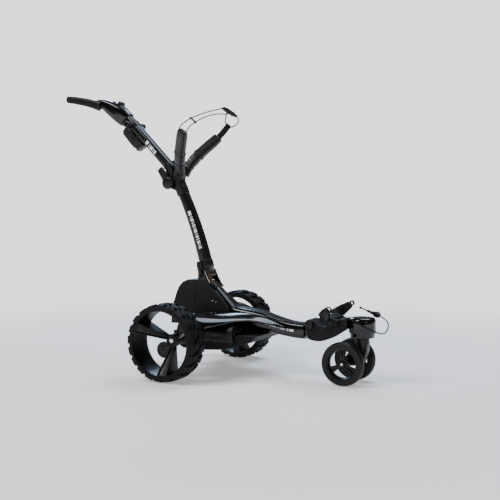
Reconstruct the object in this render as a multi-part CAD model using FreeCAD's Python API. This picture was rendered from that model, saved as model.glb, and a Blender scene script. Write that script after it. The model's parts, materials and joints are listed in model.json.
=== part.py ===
import FreeCAD, Part
import math
import os

# Electric golf trolley, in millimetres.  While it is built, X points forward, Y to the left and Z up, with
# zero on the rear wheels' axis.  Every piece is moved on export so that zero is under the middle of the model.

V = FreeCAD.Vector

# ---- driving dimensions ----
overall_width = 590.0       # over the rear tyres
wheelbase = 533.0           # rear axle to front axle
rear_tyre_d = 254.0
rear_tyre_w = 87.0
rear_tyre_thick = 20.0
rim_wall = 4.0
front_tyre_d = 140.0
front_tyre_w = 28.0
front_track = 110.0         # between the middles of the front tyres
axle_d = 12.0
button_stem_r = 3.0
button_bore = 16.0
button_travel = 4.0
front_axle_d = 8.0
stem_d = 24.0
caster_trail = 45.0
running_clearance = 0.04    # radial, shafts in bores
part_gap = 0.6              # between pieces that pass each other

mast_lean = 20.6            # degrees back from upright
handle_lean = 44.7
mast_pin_x = 14.0
mast_pin_z = 205.0
mast_pin_d = 10.0
cheek_t = 7.0                 # thickness of the socket's cheeks
latch_x = -4.0
latch_z = 206.0
mast_length = 352.0         # mast pin to fold pin, along the tube
fold_pin_back = 30.0        # fold pin behind the lower tube's axis
handle_axis_out = 34.3      # upper tube's axis in front of the fold pin
handle_tube_length = 262.0
tube_w = 40.0               # upper tube: width on Y, depth
tube_d = 32.0
mast_w = 46.0               # lower tube at its foot
mast_d = 40.0
mast_top_w = 40.0           # lower tube at its top
mast_top_d = 33.0
mast_bow = 8.0              # forward bow of the lower tube at its middle
tube_wall = 2.5

body_w = 100.0              # body and battery at their foot
spine_wall = 3.0
wing_gap = 9.0              # between the wing and the tyre
wing_wall = 4.0
seam_x = -20.0              # where the battery meets the body
motor_y = 100.0
motor_d = 72.0
motor_front_x = 179.0
gear_ratio = 20
gear_module = 1.25
worm_pitch_r = 5.5
battery_slide_room = 1.0
shell_wall = 3.0
pan_w = 236.0
yoke_root_y = 24.0
beam_half = 12.0            # half width of the chassis beam

head_d = 86.0
head_low_z = 23.0
head_top_z = 83.0
arm_w = 54.0

dial_d = 28.0
dial_stem_r = 3.0
power_r = 7.0
power_stem_r = 2.5
power_travel = 2.0
control_bore = 16.0
boss_span = 112.0
boss_bore_d = 9.0
yoke_tip_y = 123.0
yoke_rise = 36.0            # slope of the bag arms in the mast's own plane
anti_tip_x = -174.0
anti_tip_z = -76.0
anti_tip_d = 60.0
cord_d = 4.0

# ---- worked-out places ----
rear_r = rear_tyre_d / 2
front_r = front_tyre_d / 2
rear_out = overall_width / 2
rear_in = rear_out - rear_tyre_w
rim_r = rear_r - rear_tyre_thick
wing_reach = rear_in - wing_gap
front_axle_z = front_r - rear_r
swivel_x = wheelbase + caster_trail
worm_z = gear_ratio * gear_module / 2 + worm_pitch_r
case_top = worm_z + 12.0
case_half = 24.0
hub_out = rear_in + 4.0

nodes = {}
CORD_NODES = ("lower_bungee", "bungee_hook", "yoke_bungee", "yoke_buckle", "yoke_loop", "yoke_strap",
              "bungee_bridge")
SIDES = (("right", -1), ("left", 1))


# ---- helpers ----
def box(x0, x1, y0, y1, z0, z1):
    return Part.makeBox(x1 - x0, y1 - y0, z1 - z0, V(x0, y0, z0))


def rod(r, start, axis, length):
    return Part.makeCylinder(r, length, V(*start), V(*axis))


def along_y(r, x, z, y0, y1):
    return rod(r, (x, y0, z), (0, 1, 0), y1 - y0)


def plate(points, y0, y1):
    """An outline in X and Z, pulled along Y."""
    corners = [V(x, y0, z) for x, z in points]
    face = Part.Face(Part.makePolygon(corners + corners[:1]))
    return face.extrude(V(0, y1 - y0, 0))


def outline_y(points, y):
    corners = [V(x, y, z) for x, z in points]
    return Part.makePolygon(corners + corners[:1])


def skin(sections):
    """A solid through closed outlines, each (y, [(x, z), ...])."""
    return Part.makeLoft([outline_y(points, y) for y, points in sections], True, True)


def round_rect(x, y_half, z0, z1, r):
    """A rounded outline across the model at one X."""
    y = y_half - r
    c = r * math.sqrt(0.5)
    low = z0 + r
    high = z1 - r
    return Part.Wire([
        Part.makeLine(V(x, -y, z0), V(x, y, z0)),
        Part.Arc(V(x, y, z0), V(x, y + c, low - c), V(x, y + r, low)).toShape(),
        Part.makeLine(V(x, y + r, low), V(x, y + r, high)),
        Part.Arc(V(x, y + r, high), V(x, y + c, high + c), V(x, y, z1)).toShape(),
        Part.makeLine(V(x, y, z1), V(x, -y, z1)),
        Part.Arc(V(x, -y, z1), V(x, -y - c, high + c), V(x, -y - r, high)).toShape(),
        Part.makeLine(V(x, -y - r, high), V(x, -y - r, low)),
        Part.Arc(V(x, -y - r, low), V(x, -y - c, low - c), V(x, -y, z0)).toShape()])


def oval_bar(wide, deep, z0, z1, x=0.0):
    """A bar along Z with flat sides and rounded edges: wide on Y, deep on X."""
    r = deep * 0.4
    bar = box(x - deep / 2, x + deep / 2, -wide / 2, wide / 2, z0, z1)
    edges = [e for e in bar.Edges if abs(e.tangentAt(e.FirstParameter).z) > 0.9]
    return bar.makeFillet(r, edges)


def spin(points, x, z):
    """A turned piece about a line along Y: points are (radius, y)."""
    corners = [V(x, y, z + r) for r, y in points]
    face = Part.Face(Part.makePolygon(corners + corners[:1]))
    return face.revolve(V(x, 0, z), V(0, 1, 0), 360)


def turned(points, x, y=0.0):
    """A turned piece about an upright line: points are (radius, z)."""
    corners = [V(x + r, y, z) for r, z in points]
    face = Part.Face(Part.makePolygon(corners + corners[:1]))
    return face.revolve(V(x, y, 0), V(0, 0, 1), 360)


def mirror(shape):
    return shape.mirror(V(0, 0, 0), V(0, 1, 0))


def sided(shape, sign):
    """A piece is drawn on the left, and mirrored for the right."""
    return shape if sign > 0 else mirror(shape)


def tilt(shape, lean, x, z):
    """From a mast's own frame, Z along the tube and X to its front, to its place."""
    moved = shape.copy()
    moved.Placement = FreeCAD.Placement(V(x, 0, z), FreeCAD.Rotation(V(0, 1, 0), -lean)).multiply(moved.Placement)
    return moved


def on_mast(shape):
    return tilt(shape, mast_lean, mast_pin_x, mast_pin_z)


def mast_point(x, along):
    a = math.radians(mast_lean)
    return (mast_pin_x + x * math.cos(a) - along * math.sin(a), mast_pin_z + x * math.sin(a) + along * math.cos(a))


fold_x, fold_z = mast_point(-fold_pin_back, mast_length)


def on_handle(shape):
    return tilt(shape, handle_lean, fold_x, fold_z)


UP = (0, 0, 1)
console_z = 38 + handle_tube_length
# dial and power button: X and Z on the console's face in the handle's frame, and the turn from Z to the normal
CONTROLS = ((44.0, 64.0, 71.6), (33.4, 95.5, 65.8))


def keep(name, shape):
    nodes[name] = shape


def ramp(x):
    """Height of the spine's steep top at X."""
    for a, b in zip(SPINE, SPINE[1:]):
        if x <= b[0]:
            break
    return a[2] + (b[2] - a[2]) * (x - a[0]) / (b[0] - a[0])


def cord_tube(points, d):
    """A tube along straight runs joined by tangent arcs."""
    corners = [V(*p) for p in points]
    edges = []
    last = corners[0]
    radii = []
    for before, here, after in zip(corners, corners[1:], corners[2:]):
        a = (before - here).normalize()
        b = (after - here).normalize()
        run = min((before - here).Length, (after - here).Length)
        half = a.getAngle(b) / 2
        cut = 0.45 * run
        radii.append(cut * math.tan(half))
        start = here + a * cut
        end = here + b * cut
        bisector = (a + b).normalize()
        middle = here + bisector * (cut / math.cos(half) - radii[-1])
        edges.append(Part.makeLine(last, start))
        edges.append(Part.Arc(start, middle, end).toShape())
        last = end
    edges.append(Part.makeLine(last, corners[-1]))
    path = Part.Wire(edges)
    direction = corners[1] - corners[0]
    ring = Part.Wire(Part.Circle(corners[0], direction, d / 2).toShape())
    tube = path.makePipeShell([ring], True, False)
    share = tube.Volume / (math.pi * d * d / 4 * path.Length)
    print("cord: length %.0f, volume share %.3f, radii %s" % (path.Length, share, [round(r, 1) for r in radii]))
    return tube


# ---- chassis ----
SPINE = ((24, 128, 181, 24, 8), (40, 114, 175, 25, 8), (84, 74, 136, 30, 8), (128, 40, 98, 36, 10),
         (225, 27, 86, 36, 12), (328, 9, 59, 33, 12), (388, 5, 56, 31, 12))


def spine_section(row, inset):
    x, low, high, half, r = row
    return round_rect(x, half - inset, low + inset, high - inset, max(r - inset, 2.0))


def deck_x(x):
    """A place along the spine: fixed up to the ramp's foot, then shared out to the front arm."""
    foot, front = SPINE[3][0], wheelbase - 145.0
    return x if x <= foot else foot + (x - foot) * (front - foot) / (SPINE[-1][0] - foot)


def spine_rows():
    return [(deck_x(row[0]),) + row[1:] for row in SPINE]


def spine_outer():
    return Part.makeLoft([spine_section(row, 0.0) for row in spine_rows()], True, True)


def beam_slot():
    """Room for the chassis beam where it passes through a cover's wall."""
    return box(60, 150, -beam_half - part_gap, beam_half + part_gap, 20, 80)


def spine_shell():
    inside = Part.makeLoft([spine_section(row, spine_wall) for row in spine_rows()], True, True)
    return spine_outer().cut([inside, beam_slot()])


def tower(rows, inset):
    """A solid through flat rectangles, each (z, x0, x1, half width)."""
    wires = []
    for z, x0, x1, half in rows:
        a, b, c = x0 + inset, x1 - inset, half - inset
        wires.append(Part.makePolygon([V(a, -c, z), V(b, -c, z), V(b, c, z), V(a, c, z), V(a, -c, z)]))
    return Part.makeLoft(wires, True, True)


def body_rows(grow=0.0):
    low = case_top + 1.0
    half = body_w / 2
    rear = seam_x + 1
    below = ((low - grow, rear, 118, half),) if grow else ()
    return below + ((low, rear, 118, half), (78, rear, 116, half - 2), (130, rear, 84, half - 9),
                    (172, rear, 34, half - 18), (184, rear, 20, half - 20))


def body_shell():
    """Matte centre body between the battery and the spine, open below."""
    rows = body_rows()
    inner = list(body_rows(9.0))
    inner[-1] = (184 - shell_wall,) + inner[-1][1:]
    shell = tower(rows, 0.0).cut(tower(inner, shell_wall))
    return shell.cut([spine_outer(), beam_slot()])


def chassis_beam():
    """Box-section beam inside the spine, with the lugs that carry the front arm."""
    x0 = 10.0
    x1 = wheelbase - 145.0
    side = beam_half
    sections = []
    for x, z in ((x0, 34), (120, 50), (224, 44), (x1 - 60, 24), (x1, 20)):
        sections.append(Part.makePolygon([V(x, -side, z), V(x, side, z), V(x, side, z + 26), V(x, -side, z + 26),
                                          V(x, -side, z)]))
    beam = Part.makeLoft(sections, True, True)
    cross = box(-20, 24, -motor_y + case_half, motor_y - case_half, -14, 14)
    riser = box(x0, 24, -side, side, 0, 50)
    post = plate([(34, 50), (60, 50), (60, 96), (34, 96)], -side, side)
    return beam.fuse([cross, riser, post]).removeSplitter()


def underpan():
    half = pan_w / 2
    points = [(-60, 18), (-60, -18), (-22, -40), (64, -41), (130, -36), (190, -20), (235, -6), (262, 20)]
    points = [(deck_x(x), z) for x, z in points]
    inner = [(-57, 24), (-57, -16), (-21, -37), (64, -38), (130, -33), (189, -17), (233, -3), (257, 24)]
    inner = [(deck_x(x), z) for x, z in inner]
    shell = plate(points, -half, half).cut(plate(inner, -half + shell_wall, half - shell_wall))
    sleeve = along_y(17.0 + part_gap, 0, 0, -half - 1, half + 1)
    for _, sign in SIDES:
        shell = shell.cut(rod(motor_d / 2 + part_gap, (20, sign * motor_y, worm_z), (1, 0, 0), 180))
        shell = shell.cut(sided(box(-26 - part_gap, 30 + part_gap, motor_y - case_half - 1, motor_y + case_half + 1,
                                    -22 - part_gap, 20), sign))
    return shell.cut(sleeve)


def thin(top, drop):
    """A closed outline under a top line of (x, z) points."""
    return top + [(x - 1.5, z - drop) for x, z in reversed(top)]


def wing(sign):
    """Glossy cover from the body's flank out over the motor to the wheel."""
    root = [(-16, 72), (60, 77), (120, 80), (180, 88), (228, 82), (262, 70)]
    inner = [(-18, 78), (40, 86), (90, 86), (140, 83), (180, 78), (196, 68)]
    outer = [(-20, 84), (20, 90), (60, 90), (100, 82), (130, 70), (148, 56)]
    end = [(-22, 86), (10, 92), (40, 92), (70, 84), (92, 68), (106, 50)]
    half = body_w / 2
    rows = [(half - 12, root), (motor_y, inner), ((motor_y + wing_reach) / 2, outer), (wing_reach, end)]
    shape = skin([(y, thin(top, wing_wall)) for y, top in rows])
    shape = shape.cut(tower(body_rows(20.0), 0.0)).cut(spine_outer())
    return sided(shape, sign)


def gear_case(sign):
    """Casting round the worm wheel, with the sleeve that holds the axle's bearings."""
    y0, y1 = motor_y - case_half, motor_y + case_half
    case = box(-26, 30, y0, y1, -22, case_top).fuse(along_y(17.0, 0, 0, y1 - 1, rear_in - 18))
    case = case.cut(box(-21, 26, motor_y - 12, motor_y + 12, -17, case_top - 3))
    case = case.cut(along_y(12.0, 0, 0, y0 + 2, motor_y - 11))
    case = case.cut(along_y(12.0, 0, 0, motor_y + 11, rear_in))
    case = case.cut(rod(5.0, (20, motor_y, worm_z), (1, 0, 0), 20))
    return sided(case, sign)


def axle_bearings():
    rings = []
    for y in (motor_y - 21.0, rear_in - 27.0):
        ring = along_y(12.0, 0, 0, y, y + 8).cut(along_y(axle_d / 2 + running_clearance, 0, 0, y - 1, y + 9))
        rings += [ring, mirror(ring)]
    return Part.Compound(rings)


def motor(sign):
    """Motor can with a bearing in each end wall; its front end looks out under the wing."""
    r = motor_d / 2
    can = rod(r, (30, motor_y, worm_z), (1, 0, 0), motor_front_x - 30)
    edge = [e for e in can.Edges if abs(e.CenterOfMass.x - motor_front_x) < 0.1]
    can = can.makeFillet(3.0, edge)
    can = can.cut(rod(r - 4, (34, motor_y, worm_z), (1, 0, 0), motor_front_x - 44))
    can = can.cut(rod(4 + running_clearance, (29, motor_y, worm_z), (1, 0, 0), motor_front_x - 34))
    can = can.cut(rod(6, (motor_front_x - 2, motor_y, worm_z), (1, 0, 0), 3))
    return sided(can, sign)


def rotor(sign):
    """Armature and shaft with a single-start worm over the drive axle."""
    shaft = rod(4.0, (-15, motor_y, worm_z), (1, 0, 0), motor_front_x - 15 + 9.0)
    armature = rod(23, (74, motor_y, worm_z), (1, 0, 0), 62)
    commutator = rod(11, (142, motor_y, worm_z), (1, 0, 0), 16)
    pitch = math.pi * gear_module
    turns = 4
    helix = Part.makeHelix(pitch, pitch * turns, 3.9)
    tooth = Part.makePolygon([V(3.9, 0, -0.8), V(6.5, 0, -0.35), V(6.5, 0, 0.35), V(3.9, 0, 0.8), V(3.9, 0, -0.8)])
    thread = Part.Wire(helix).makePipeShell([tooth], True, True)
    half = pitch * turns / 2
    # whole turns each side of the middle put the thread in the tooth gap at the top of the worm wheel
    thread.Placement = FreeCAD.Placement(V(-half, motor_y, worm_z), FreeCAD.Rotation(V(0, 1, 0), 90))
    return sided(shaft.fuse([armature, commutator, thread]), sign)


def drive_axle(sign):
    """Axle with its worm wheel; one tooth gap stands at the top."""
    shaft = along_y(axle_d / 2, 0, 0, motor_y - 21, hub_out)
    collar = along_y(9.0, 0, 0, rear_in - 17, rear_in - 13)
    r = gear_module * gear_ratio / 2
    wheel = along_y(r - 1.3, 0, 0, motor_y - 4, motor_y + 4)
    teeth = []
    for i in range(gear_ratio):
        tooth = plate([(-0.75, r - 2), (0.75, r - 2), (0.4, r + 1.1), (-0.4, r + 1.1)], motor_y - 4, motor_y + 4)
        tooth.rotate(V(0, 0, 0), V(0, 1, 0), (i + 0.5) * 360.0 / gear_ratio)
        teeth.append(tooth)
    shaft = shaft.fuse([collar, wheel] + teeth)
    return sided(shaft.cut(along_y(button_stem_r + running_clearance, 0, 0, hub_out - button_bore, hub_out + 1)), sign)


def mast_socket():
    """Two cheeks on the body and the spine's steep top that hold the mast pin."""
    pad = 4.0
    cheek = [(-15, 184), (-15, 222), (22, 224), (36, 198), (56, ramp(56) + pad), (56, ramp(56)), (40, ramp(40)),
             (24, ramp(24)), (22, 184)]
    y0 = mast_w / 2 + part_gap
    y1 = y0 + cheek_t
    parts = [plate(cheek, y0, y1), plate(cheek, -y1, -y0)]
    base = [(x, ramp(x)) for x in (24, 40, 56)] + [(x, ramp(x) + pad) for x in (56, 40, 24)]
    parts.append(plate(base, -y1, y1))
    parts.append(box(-15, -11, -y1, y1, 184, 196))
    socket = parts[0].fuse(parts[1:]).removeSplitter()
    socket = socket.cut(along_y(3.0 + running_clearance, latch_x, latch_z, -y1 - 1, -y0 + 1))
    return socket.cut(along_y(mast_pin_d / 2, mast_pin_x, mast_pin_z, -60, 60))


def pivot_pins():
    """Mast pin, the two bolts of the front arm, and the anti-tip wheel's pin."""
    y = mast_w / 2 + part_gap + cheek_t
    mast_pin = along_y(mast_pin_d / 2, mast_pin_x, mast_pin_z, -y - 2, y + 2)
    bolt_x, bolt_z = wheelbase - 126.0, 57.0
    cap = along_y(15.0, bolt_x, bolt_z, arm_w / 2, arm_w / 2 + 9)
    cap = cap.makeFillet(2.5, [e for e in cap.Edges if e.CenterOfMass.y > arm_w / 2 + 8])
    bolt = along_y(5.0, bolt_x, bolt_z, -arm_w / 2, arm_w / 2)
    pin = along_y(4.0, anti_tip_x, anti_tip_z, -17, 17)
    return Part.Compound([mast_pin, cap.fuse([bolt, mirror(cap)]), pin])


def control_board():
    board = box(-12, 30, -34, 34, 84.0, 85.6)
    board = board.fuse([box(-6, 14, -20, 4, 85.6, 93), box(0, 16, 10, 26, 85.6, 90)])
    feet = [box(11, 19, y, y + 6, 55, 84) for y in (-10, 4)]
    return board.fuse(feet).cut(chassis_beam())


def anti_tip_arm():
    """Bent bar from the underpan back to the small rear wheel."""
    bar = plate([(-60, -17), (-60, 0), (-100, -16), (-136, -44), (-136, -64), (-96, -42)], -14, 14)
    fork = []
    for sign in (-1, 1):
        y0 = sign * 13 - 2
        tine = plate([(-130, -40), (-120, -56), (anti_tip_x + 4, anti_tip_z - 10), (anti_tip_x - 8, anti_tip_z),
                      (anti_tip_x, anti_tip_z + 12)], y0, y0 + 4)
        fork.append(tine)
    arm = bar.fuse(fork)
    arm = arm.cut(along_y(anti_tip_d / 2 + 3, anti_tip_x, anti_tip_z, -11, 11))
    return arm.cut(along_y(4.0, anti_tip_x, anti_tip_z, -20, 20))


def anti_tip_wheel():
    r = anti_tip_d / 2
    profile = [(4 + running_clearance, -9), (12, -9), (14, -10), (r - 3, -10), (r, -7), (r, 7), (r - 3, 10),
               (14, 10), (12, 9), (4 + running_clearance, 9)]
    return spin(profile, anti_tip_x, anti_tip_z)


# ---- battery ----
def battery_rows(grow=0.0):
    low = case_top + 1.5
    half = body_w / 2
    front = seam_x
    return ((low + grow, -114, front, half), (105, -106, front, half - 5), (160, -90, front, half - 15),
            (186 - grow, -56, front, half - 21))


def battery_case():
    """Battery housing with a rear grip and a pocket for the latch button."""
    case = tower(battery_rows(), 0.0).cut(tower(battery_rows(shell_wall), shell_wall))
    case = case.cut(box(-112, -96, -19, 19, 96, 112))
    return case.fuse(box(-108, -101.5, -24, 24, 90, 95))


def battery_cells():
    d = 18.0
    cells = []
    for column in range(4):
        for row in range(4):
            x = seam_x - shell_wall - 1 - d / 2 - row * (d + 1)
            y = (column - 1.5) * (d + 1.5)
            cells.append(rod(d / 2, (x, y, case_top + 4.6), (0, 0, 1), 60))
    return Part.Compound(cells)


def battery_latch():
    """Push button in the battery's rear face; it travels forward."""
    return box(-109.5, -100, -18, 18, 97, 111)


# ---- rear wheels ----
def tyre(sign):
    profile = [(rim_r, rear_in), (rear_r - 7, rear_in), (rear_r, rear_in + 9), (rear_r, rear_out - 9),
               (rear_r - 7, rear_out), (rim_r, rear_out)]
    return sided(spin(profile, 0, 0), sign)


def rim(sign):
    """Wide barrel with three deep spokes that lean in to a recessed hub."""
    barrel = spin([(rim_r, rear_in), (rim_r, rear_out - 1), (rim_r - rim_wall, rear_out - 1),
                   (rim_r - rim_wall, rear_in)], 0, 0)
    hub = along_y(22.0, 0, 0, rear_in - 12, hub_out - 0.5)
    pieces = [barrel, hub]
    for angle in (-170, -50, 70):
        spoke = Part.makeLoft([spoke_section(16, 8.0, rear_in - 11, hub_out - 2),
                               spoke_section(60, 10.0, rear_in - 4, rear_in + 34),
                               spoke_section(rim_r - rim_wall + 0.5, 13.0, rear_in + 2, rear_in + 66)], True, True)
        spoke.rotate(V(0, 0, 0), V(0, 1, 0), angle)
        pieces.append(spoke)
    wheel = pieces[0].fuse(pieces[1:])
    wheel = wheel.cut(along_y(axle_d / 2, 0, 0, rear_in - 20, hub_out + 10))
    return sided(wheel, sign)


def spoke_section(x, half, y0, y1):
    return Part.makePolygon([V(x, y0, -half), V(x, y1, -half * 0.8), V(x, y1, half * 0.8), V(x, y0, half),
                             V(x, y0, -half)])


def release_button(sign):
    """Quick-release push button on the end of the axle."""
    start = hub_out + button_travel + part_gap
    cap = along_y(7.5, 0, 0, start, start + 4)
    cap = cap.makeFillet(1.5, [e for e in cap.Edges if e.CenterOfMass.y > start + 3.5])
    stem = along_y(button_stem_r, 0, 0, hub_out - button_bore + button_travel + 1, start)
    return sided(cap.fuse(stem), sign)


# ---- front end ----
def front_arm():
    """S-shaped arm from the spine's end up to the caster head."""
    x0 = wheelbase - 145.0
    points = [(x0, 58), (x0 + 6, 70), (x0 + 26, 73), (x0 + 44, 58), (x0 + 62, 50), (x0 + 92, 62),
              (x0 + 120, 80), (x0 + 152, 84), (x0 + 152, 50), (x0 + 116, 25), (x0 + 74, 8), (x0 + 46, 2),
              (x0 + 14, 7)]
    arm = plate(points, -arm_w / 2, arm_w / 2)
    arm = arm.cut(along_y(5.0, wheelbase - 126.0, 57.0, -50, 50))
    return arm.cut(rod(head_d / 2, (swivel_x, 0, 0), (0, 0, 1), 120))


def caster_head():
    r = head_d / 2
    bore = stem_d / 2 + running_clearance
    profile = [(bore, head_low_z), (r - 12, head_low_z), (r, head_low_z + 16), (r, head_top_z), (r - 5, 88),
               (bore, 88)]
    head = turned(profile, swivel_x)
    cap = rod(bore + 1, (swivel_x, 0, 84), (0, 0, 1), 4)
    return head.fuse(cap)


def caster_fork():
    r = stem_d / 2
    stem = rod(r, (swivel_x, 0, 0), (0, 0, 1), 80)
    collar = rod(23.0, (swivel_x, 0, -8), (0, 0, 1), head_low_z + 8 - part_gap)
    web = plate([(swivel_x + 22, 10), (swivel_x + 20, -20), (swivel_x + 6, -62), (wheelbase + 12, front_axle_z - 12),
                 (wheelbase - 12, front_axle_z - 12), (wheelbase - 14, front_axle_z + 8), (swivel_x - 23, 0),
                 (swivel_x - 23, 10)], -17, 17)
    boss = along_y(15.0, wheelbase, front_axle_z, -front_track / 2 + 18, front_track / 2 - 18)
    fork = stem.fuse([collar, web, boss])
    return fork.cut(along_y(front_axle_d / 2, wheelbase, front_axle_z, -60, 60))


def front_axle():
    y = front_track / 2 + front_tyre_w / 2 - 4
    return along_y(front_axle_d / 2, wheelbase, front_axle_z, -y, y)


def front_tyre(sign):
    y = front_track / 2
    h = front_tyre_w / 2
    profile = [(front_r - 20, y - h + 2), (front_r - 6, y - h), (front_r - 1.5, y - h / 2), (front_r, y),
               (front_r - 1.5, y + h / 2), (front_r - 6, y + h), (front_r - 20, y + h - 2)]
    return sided(spin(profile, wheelbase, front_axle_z), sign)


def front_rim(sign):
    """Three-spoke rim that turns on the front axle."""
    y = front_track / 2
    h = front_tyre_w / 2 - 3
    r = front_r - 20
    ring = spin([(r, y - h), (r, y + h), (r - 4, y + h), (r - 4, y - h)], wheelbase, front_axle_z)
    hub = along_y(11.0, wheelbase, front_axle_z, y - h - 2, y + h - 2)
    pieces = [ring, hub]
    for i in range(3):
        spoke = box(wheelbase + 8, wheelbase + r - 3, y - h + 2, y + h - 6, front_axle_z - 9, front_axle_z + 9)
        spoke.rotate(V(wheelbase, 0, front_axle_z), V(0, 1, 0), i * 120.0 - 90.0)
        pieces.append(spoke)
    wheel = pieces[0].fuse(pieces[1:])
    bore = front_axle_d / 2 + running_clearance
    return sided(wheel.cut(along_y(bore, wheelbase, front_axle_z, y - 40, y + 40)), sign)


def cradle_base():
    """Saddle across the front arm that carries the two bag arms."""
    x = wheelbase - 66.0
    saddle = plate([(x - 24, 80), (x - 10, 62), (x + 14, 50), (x + 40, 62), (x + 48, 76), (x + 24, 84), (x, 92)],
                   -46, 46)
    return saddle.cut(front_arm())


def cradle_arms():
    """Two curved bag arms, with an eyelet through each tip."""
    x = wheelbase - 66.0
    arms = []
    for sign in (-1, 1):
        lower = [(x - 26, 80), (x - 2, 104), (x + 12, 92), (x - 10, 66)]
        upper = [(x + 20, 118), (x + 42, 130), (x + 52, 116), (x + 30, 104)]
        arm = skin([(46.0, lower), (74.0, [(a + 18, b + 10) for a, b in lower]), (102.0, upper)])
        arm = arm.cut(along_y(5.0, x + 36, 117, 90, 120))
        arms.append(arm if sign > 0 else mirror(arm))
    return Part.Compound(arms)


def lower_bungee():
    x = wheelbase
    route = [(x - 7, -47, 95), (x + 23, -60, 87), (x + 66, -63, 68), (x + 106, -52, 51), (x + 121, -34, 42),
             (x + 130, -12, 49), (x + 129, 8, 69), (x + 113, 24, 82), (x + 90, 31, 92)]
    return cord_tube(route, cord_d)


def bungee_hook():
    """Slider block, barrel and hook that clip the elastic into the far eyelet."""
    x = wheelbase
    block = [V(x + 90, 31, 92), V(x + 70, 42, 95)]
    end = V(x + 2, 88, 108)
    first = rod(8.0, block[0], (block[1] - block[0]), (block[1] - block[0]).Length)
    second = rod(4.5, block[1], (end - block[1]), (end - block[1]).Length)
    return first.fuse(second).cut(lower_bungee())


# ---- lower mast ----
def mast_section(along, inset):
    """Outline of the lower tube, which narrows upward and bows forward."""
    share = (along - 22.0) / (mast_length - 58.0)
    wide = mast_w + (mast_top_w - mast_w) * share - 2 * inset
    deep = mast_d + (mast_top_d - mast_d) * share - 2 * inset
    middle = mast_bow * (1 - (2 * share - 1) ** 2)
    r = mast_top_d * 0.4 - inset
    wire = round_rect(0, wide / 2, middle - deep / 2, middle + deep / 2, r)
    wire.rotate(V(0, 0, 0), V(0, 1, 0), 90)
    wire.translate(V(0, 0, along))
    return wire


def mast_bar(z0, z1, inset):
    steps = 6
    return Part.makeLoft([mast_section(z0 + (z1 - z0) * i / steps, inset) for i in range(steps + 1)], True, True)


def mast_foot():
    """Fitting in the lower tube's end, with the barrel that turns on the mast pin."""
    w = mast_w / 2
    barrel = along_y(16.0, 0, 0, -w, w)
    neck = box(-15, 15, -w + 2, w - 2, 0, 22)
    plug = mast_bar(22, 60, tube_wall + 0.3)
    foot = barrel.fuse([neck, plug])
    return on_mast(foot.cut(along_y(mast_pin_d / 2 + running_clearance, 0, 0, -60, 60)))


def lower_tube():
    return on_mast(mast_bar(22, mast_length - 36, 0.0).cut(mast_bar(22, mast_length - 36, tube_wall)))


def yoke_hub():
    """Top fitting of the lower tube: fold lugs behind, roots of the bag arms at its sides."""
    top = mast_length - 36
    w = mast_top_w / 2
    plug = mast_bar(top - 36, top, tube_wall + 0.3)
    block = box(-17, 14, -w - 2, w + 2, top, top + 34)
    head = plate([(0, top + 20), (14, top + 18), (26, top + 38), (46, top + 60), (48, top + 68), (30, top + 78),
                  (4, top + 70), (0, top + 46)], -yoke_root_y, yoke_root_y)
    lugs = []
    for y0 in (-w - 2, w - 6):
        lugs.append(plate([(-fold_pin_back - 14, mast_length - 10), (-fold_pin_back - 14, mast_length + 10),
                           (-fold_pin_back + 10, mast_length + 14), (-14, top + 34), (-14, top),
                           (-fold_pin_back, top + 14)], y0, y0 + 8))
    hub = plug.fuse([block, head] + lugs)
    slot = box(-60, -12, -w + 6 - part_gap, w - 6 + part_gap, top - 10, mast_length + 40)
    hub = hub.cut(slot)
    return on_mast(hub.cut(along_y(5.0 + running_clearance, -fold_pin_back, mast_length, -60, 60)))


def across(n, along, half_n, half_s):
    """Four corners of a yoke arm's cross-section round a point of the mast's own plane."""
    a = math.radians(yoke_rise)
    corners = ((half_n, half_s), (half_n, -half_s), (-half_n, -half_s), (-half_n, half_s))
    return [(n + p * math.cos(a) - q * math.sin(a), along + p * math.sin(a) + q * math.cos(a)) for p, q in corners]


def yoke_arm(sign):
    """Thick arm that opens out, up and forward to hold the bag."""
    top = mast_length - 36
    sections = [(yoke_root_y, across(29, top + 67, 18, 17)), (60.0, across(72, top + 104, 20, 19)),
                (95.0, across(111, top + 131, 22, 19)), (yoke_tip_y, across(142, top + 151, 22, 19))]
    arm = on_mast(sided(skin(sections), sign)).cut(yoke_bungee())
    return arm.cut(yoke_strap()) if sign > 0 else arm


def yoke_strap():
    """Flat webbing strap from the far arm's end to the elastic loop."""
    top = mast_length - 36
    strap = skin([(yoke_tip_y - 14, across(130, top + 143, 3, 12)), (yoke_tip_y + 17, across(189, top + 180, 3, 12))])
    return on_mast(strap).cut(yoke_loop())


def yoke_bungee():
    """Looped elastic: two strands from the near arm's end that turn round inside the buckle."""
    route = [(-36, -114, 690), (-31, -122, 704), (-27, -95, 725), (-18, -65, 741), (3, -20, 762), (22, 30, 777),
             (30, 58, 785), (36, 76, 788), (41, 88, 783), (41, 88, 771), (36, 76, 766), (30, 58, 766),
             (21, 30, 763), (11, -20, 749),
             (-2, -65, 727), (-3, -95, 712), (-6, -112, 693), (-16, -108, 682)]
    return cord_tube(route, cord_d)


def yoke_loop():
    """Short elastic loop from the buckle through the end of the strap."""
    route = [(34, 92, 776), (24, 102, 764), (12, 116, 748), (8, 130, 738), (14, 143, 728), (30, 146, 730),
             (48, 142, 738), (60, 132, 750), (58, 122, 762), (50, 110, 768)]
    return cord_tube(route, cord_d)


def yoke_buckle():
    """Clip that joins the elastic to its loop."""
    start = V(28, 74, 789)
    end = V(56, 122, 762)
    clip = Part.makeCylinder(9.0, (end - start).Length, start, end - start)
    return clip.cut([yoke_bungee(), yoke_loop()])


def bungee_bridge():
    """Small clip that holds the two strands apart."""
    start = V(-22, -65, 744)
    end = V(2, -65, 724)
    return Part.makeCylinder(5.0, (end - start).Length, start, end - start).cut(yoke_bungee())


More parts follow.
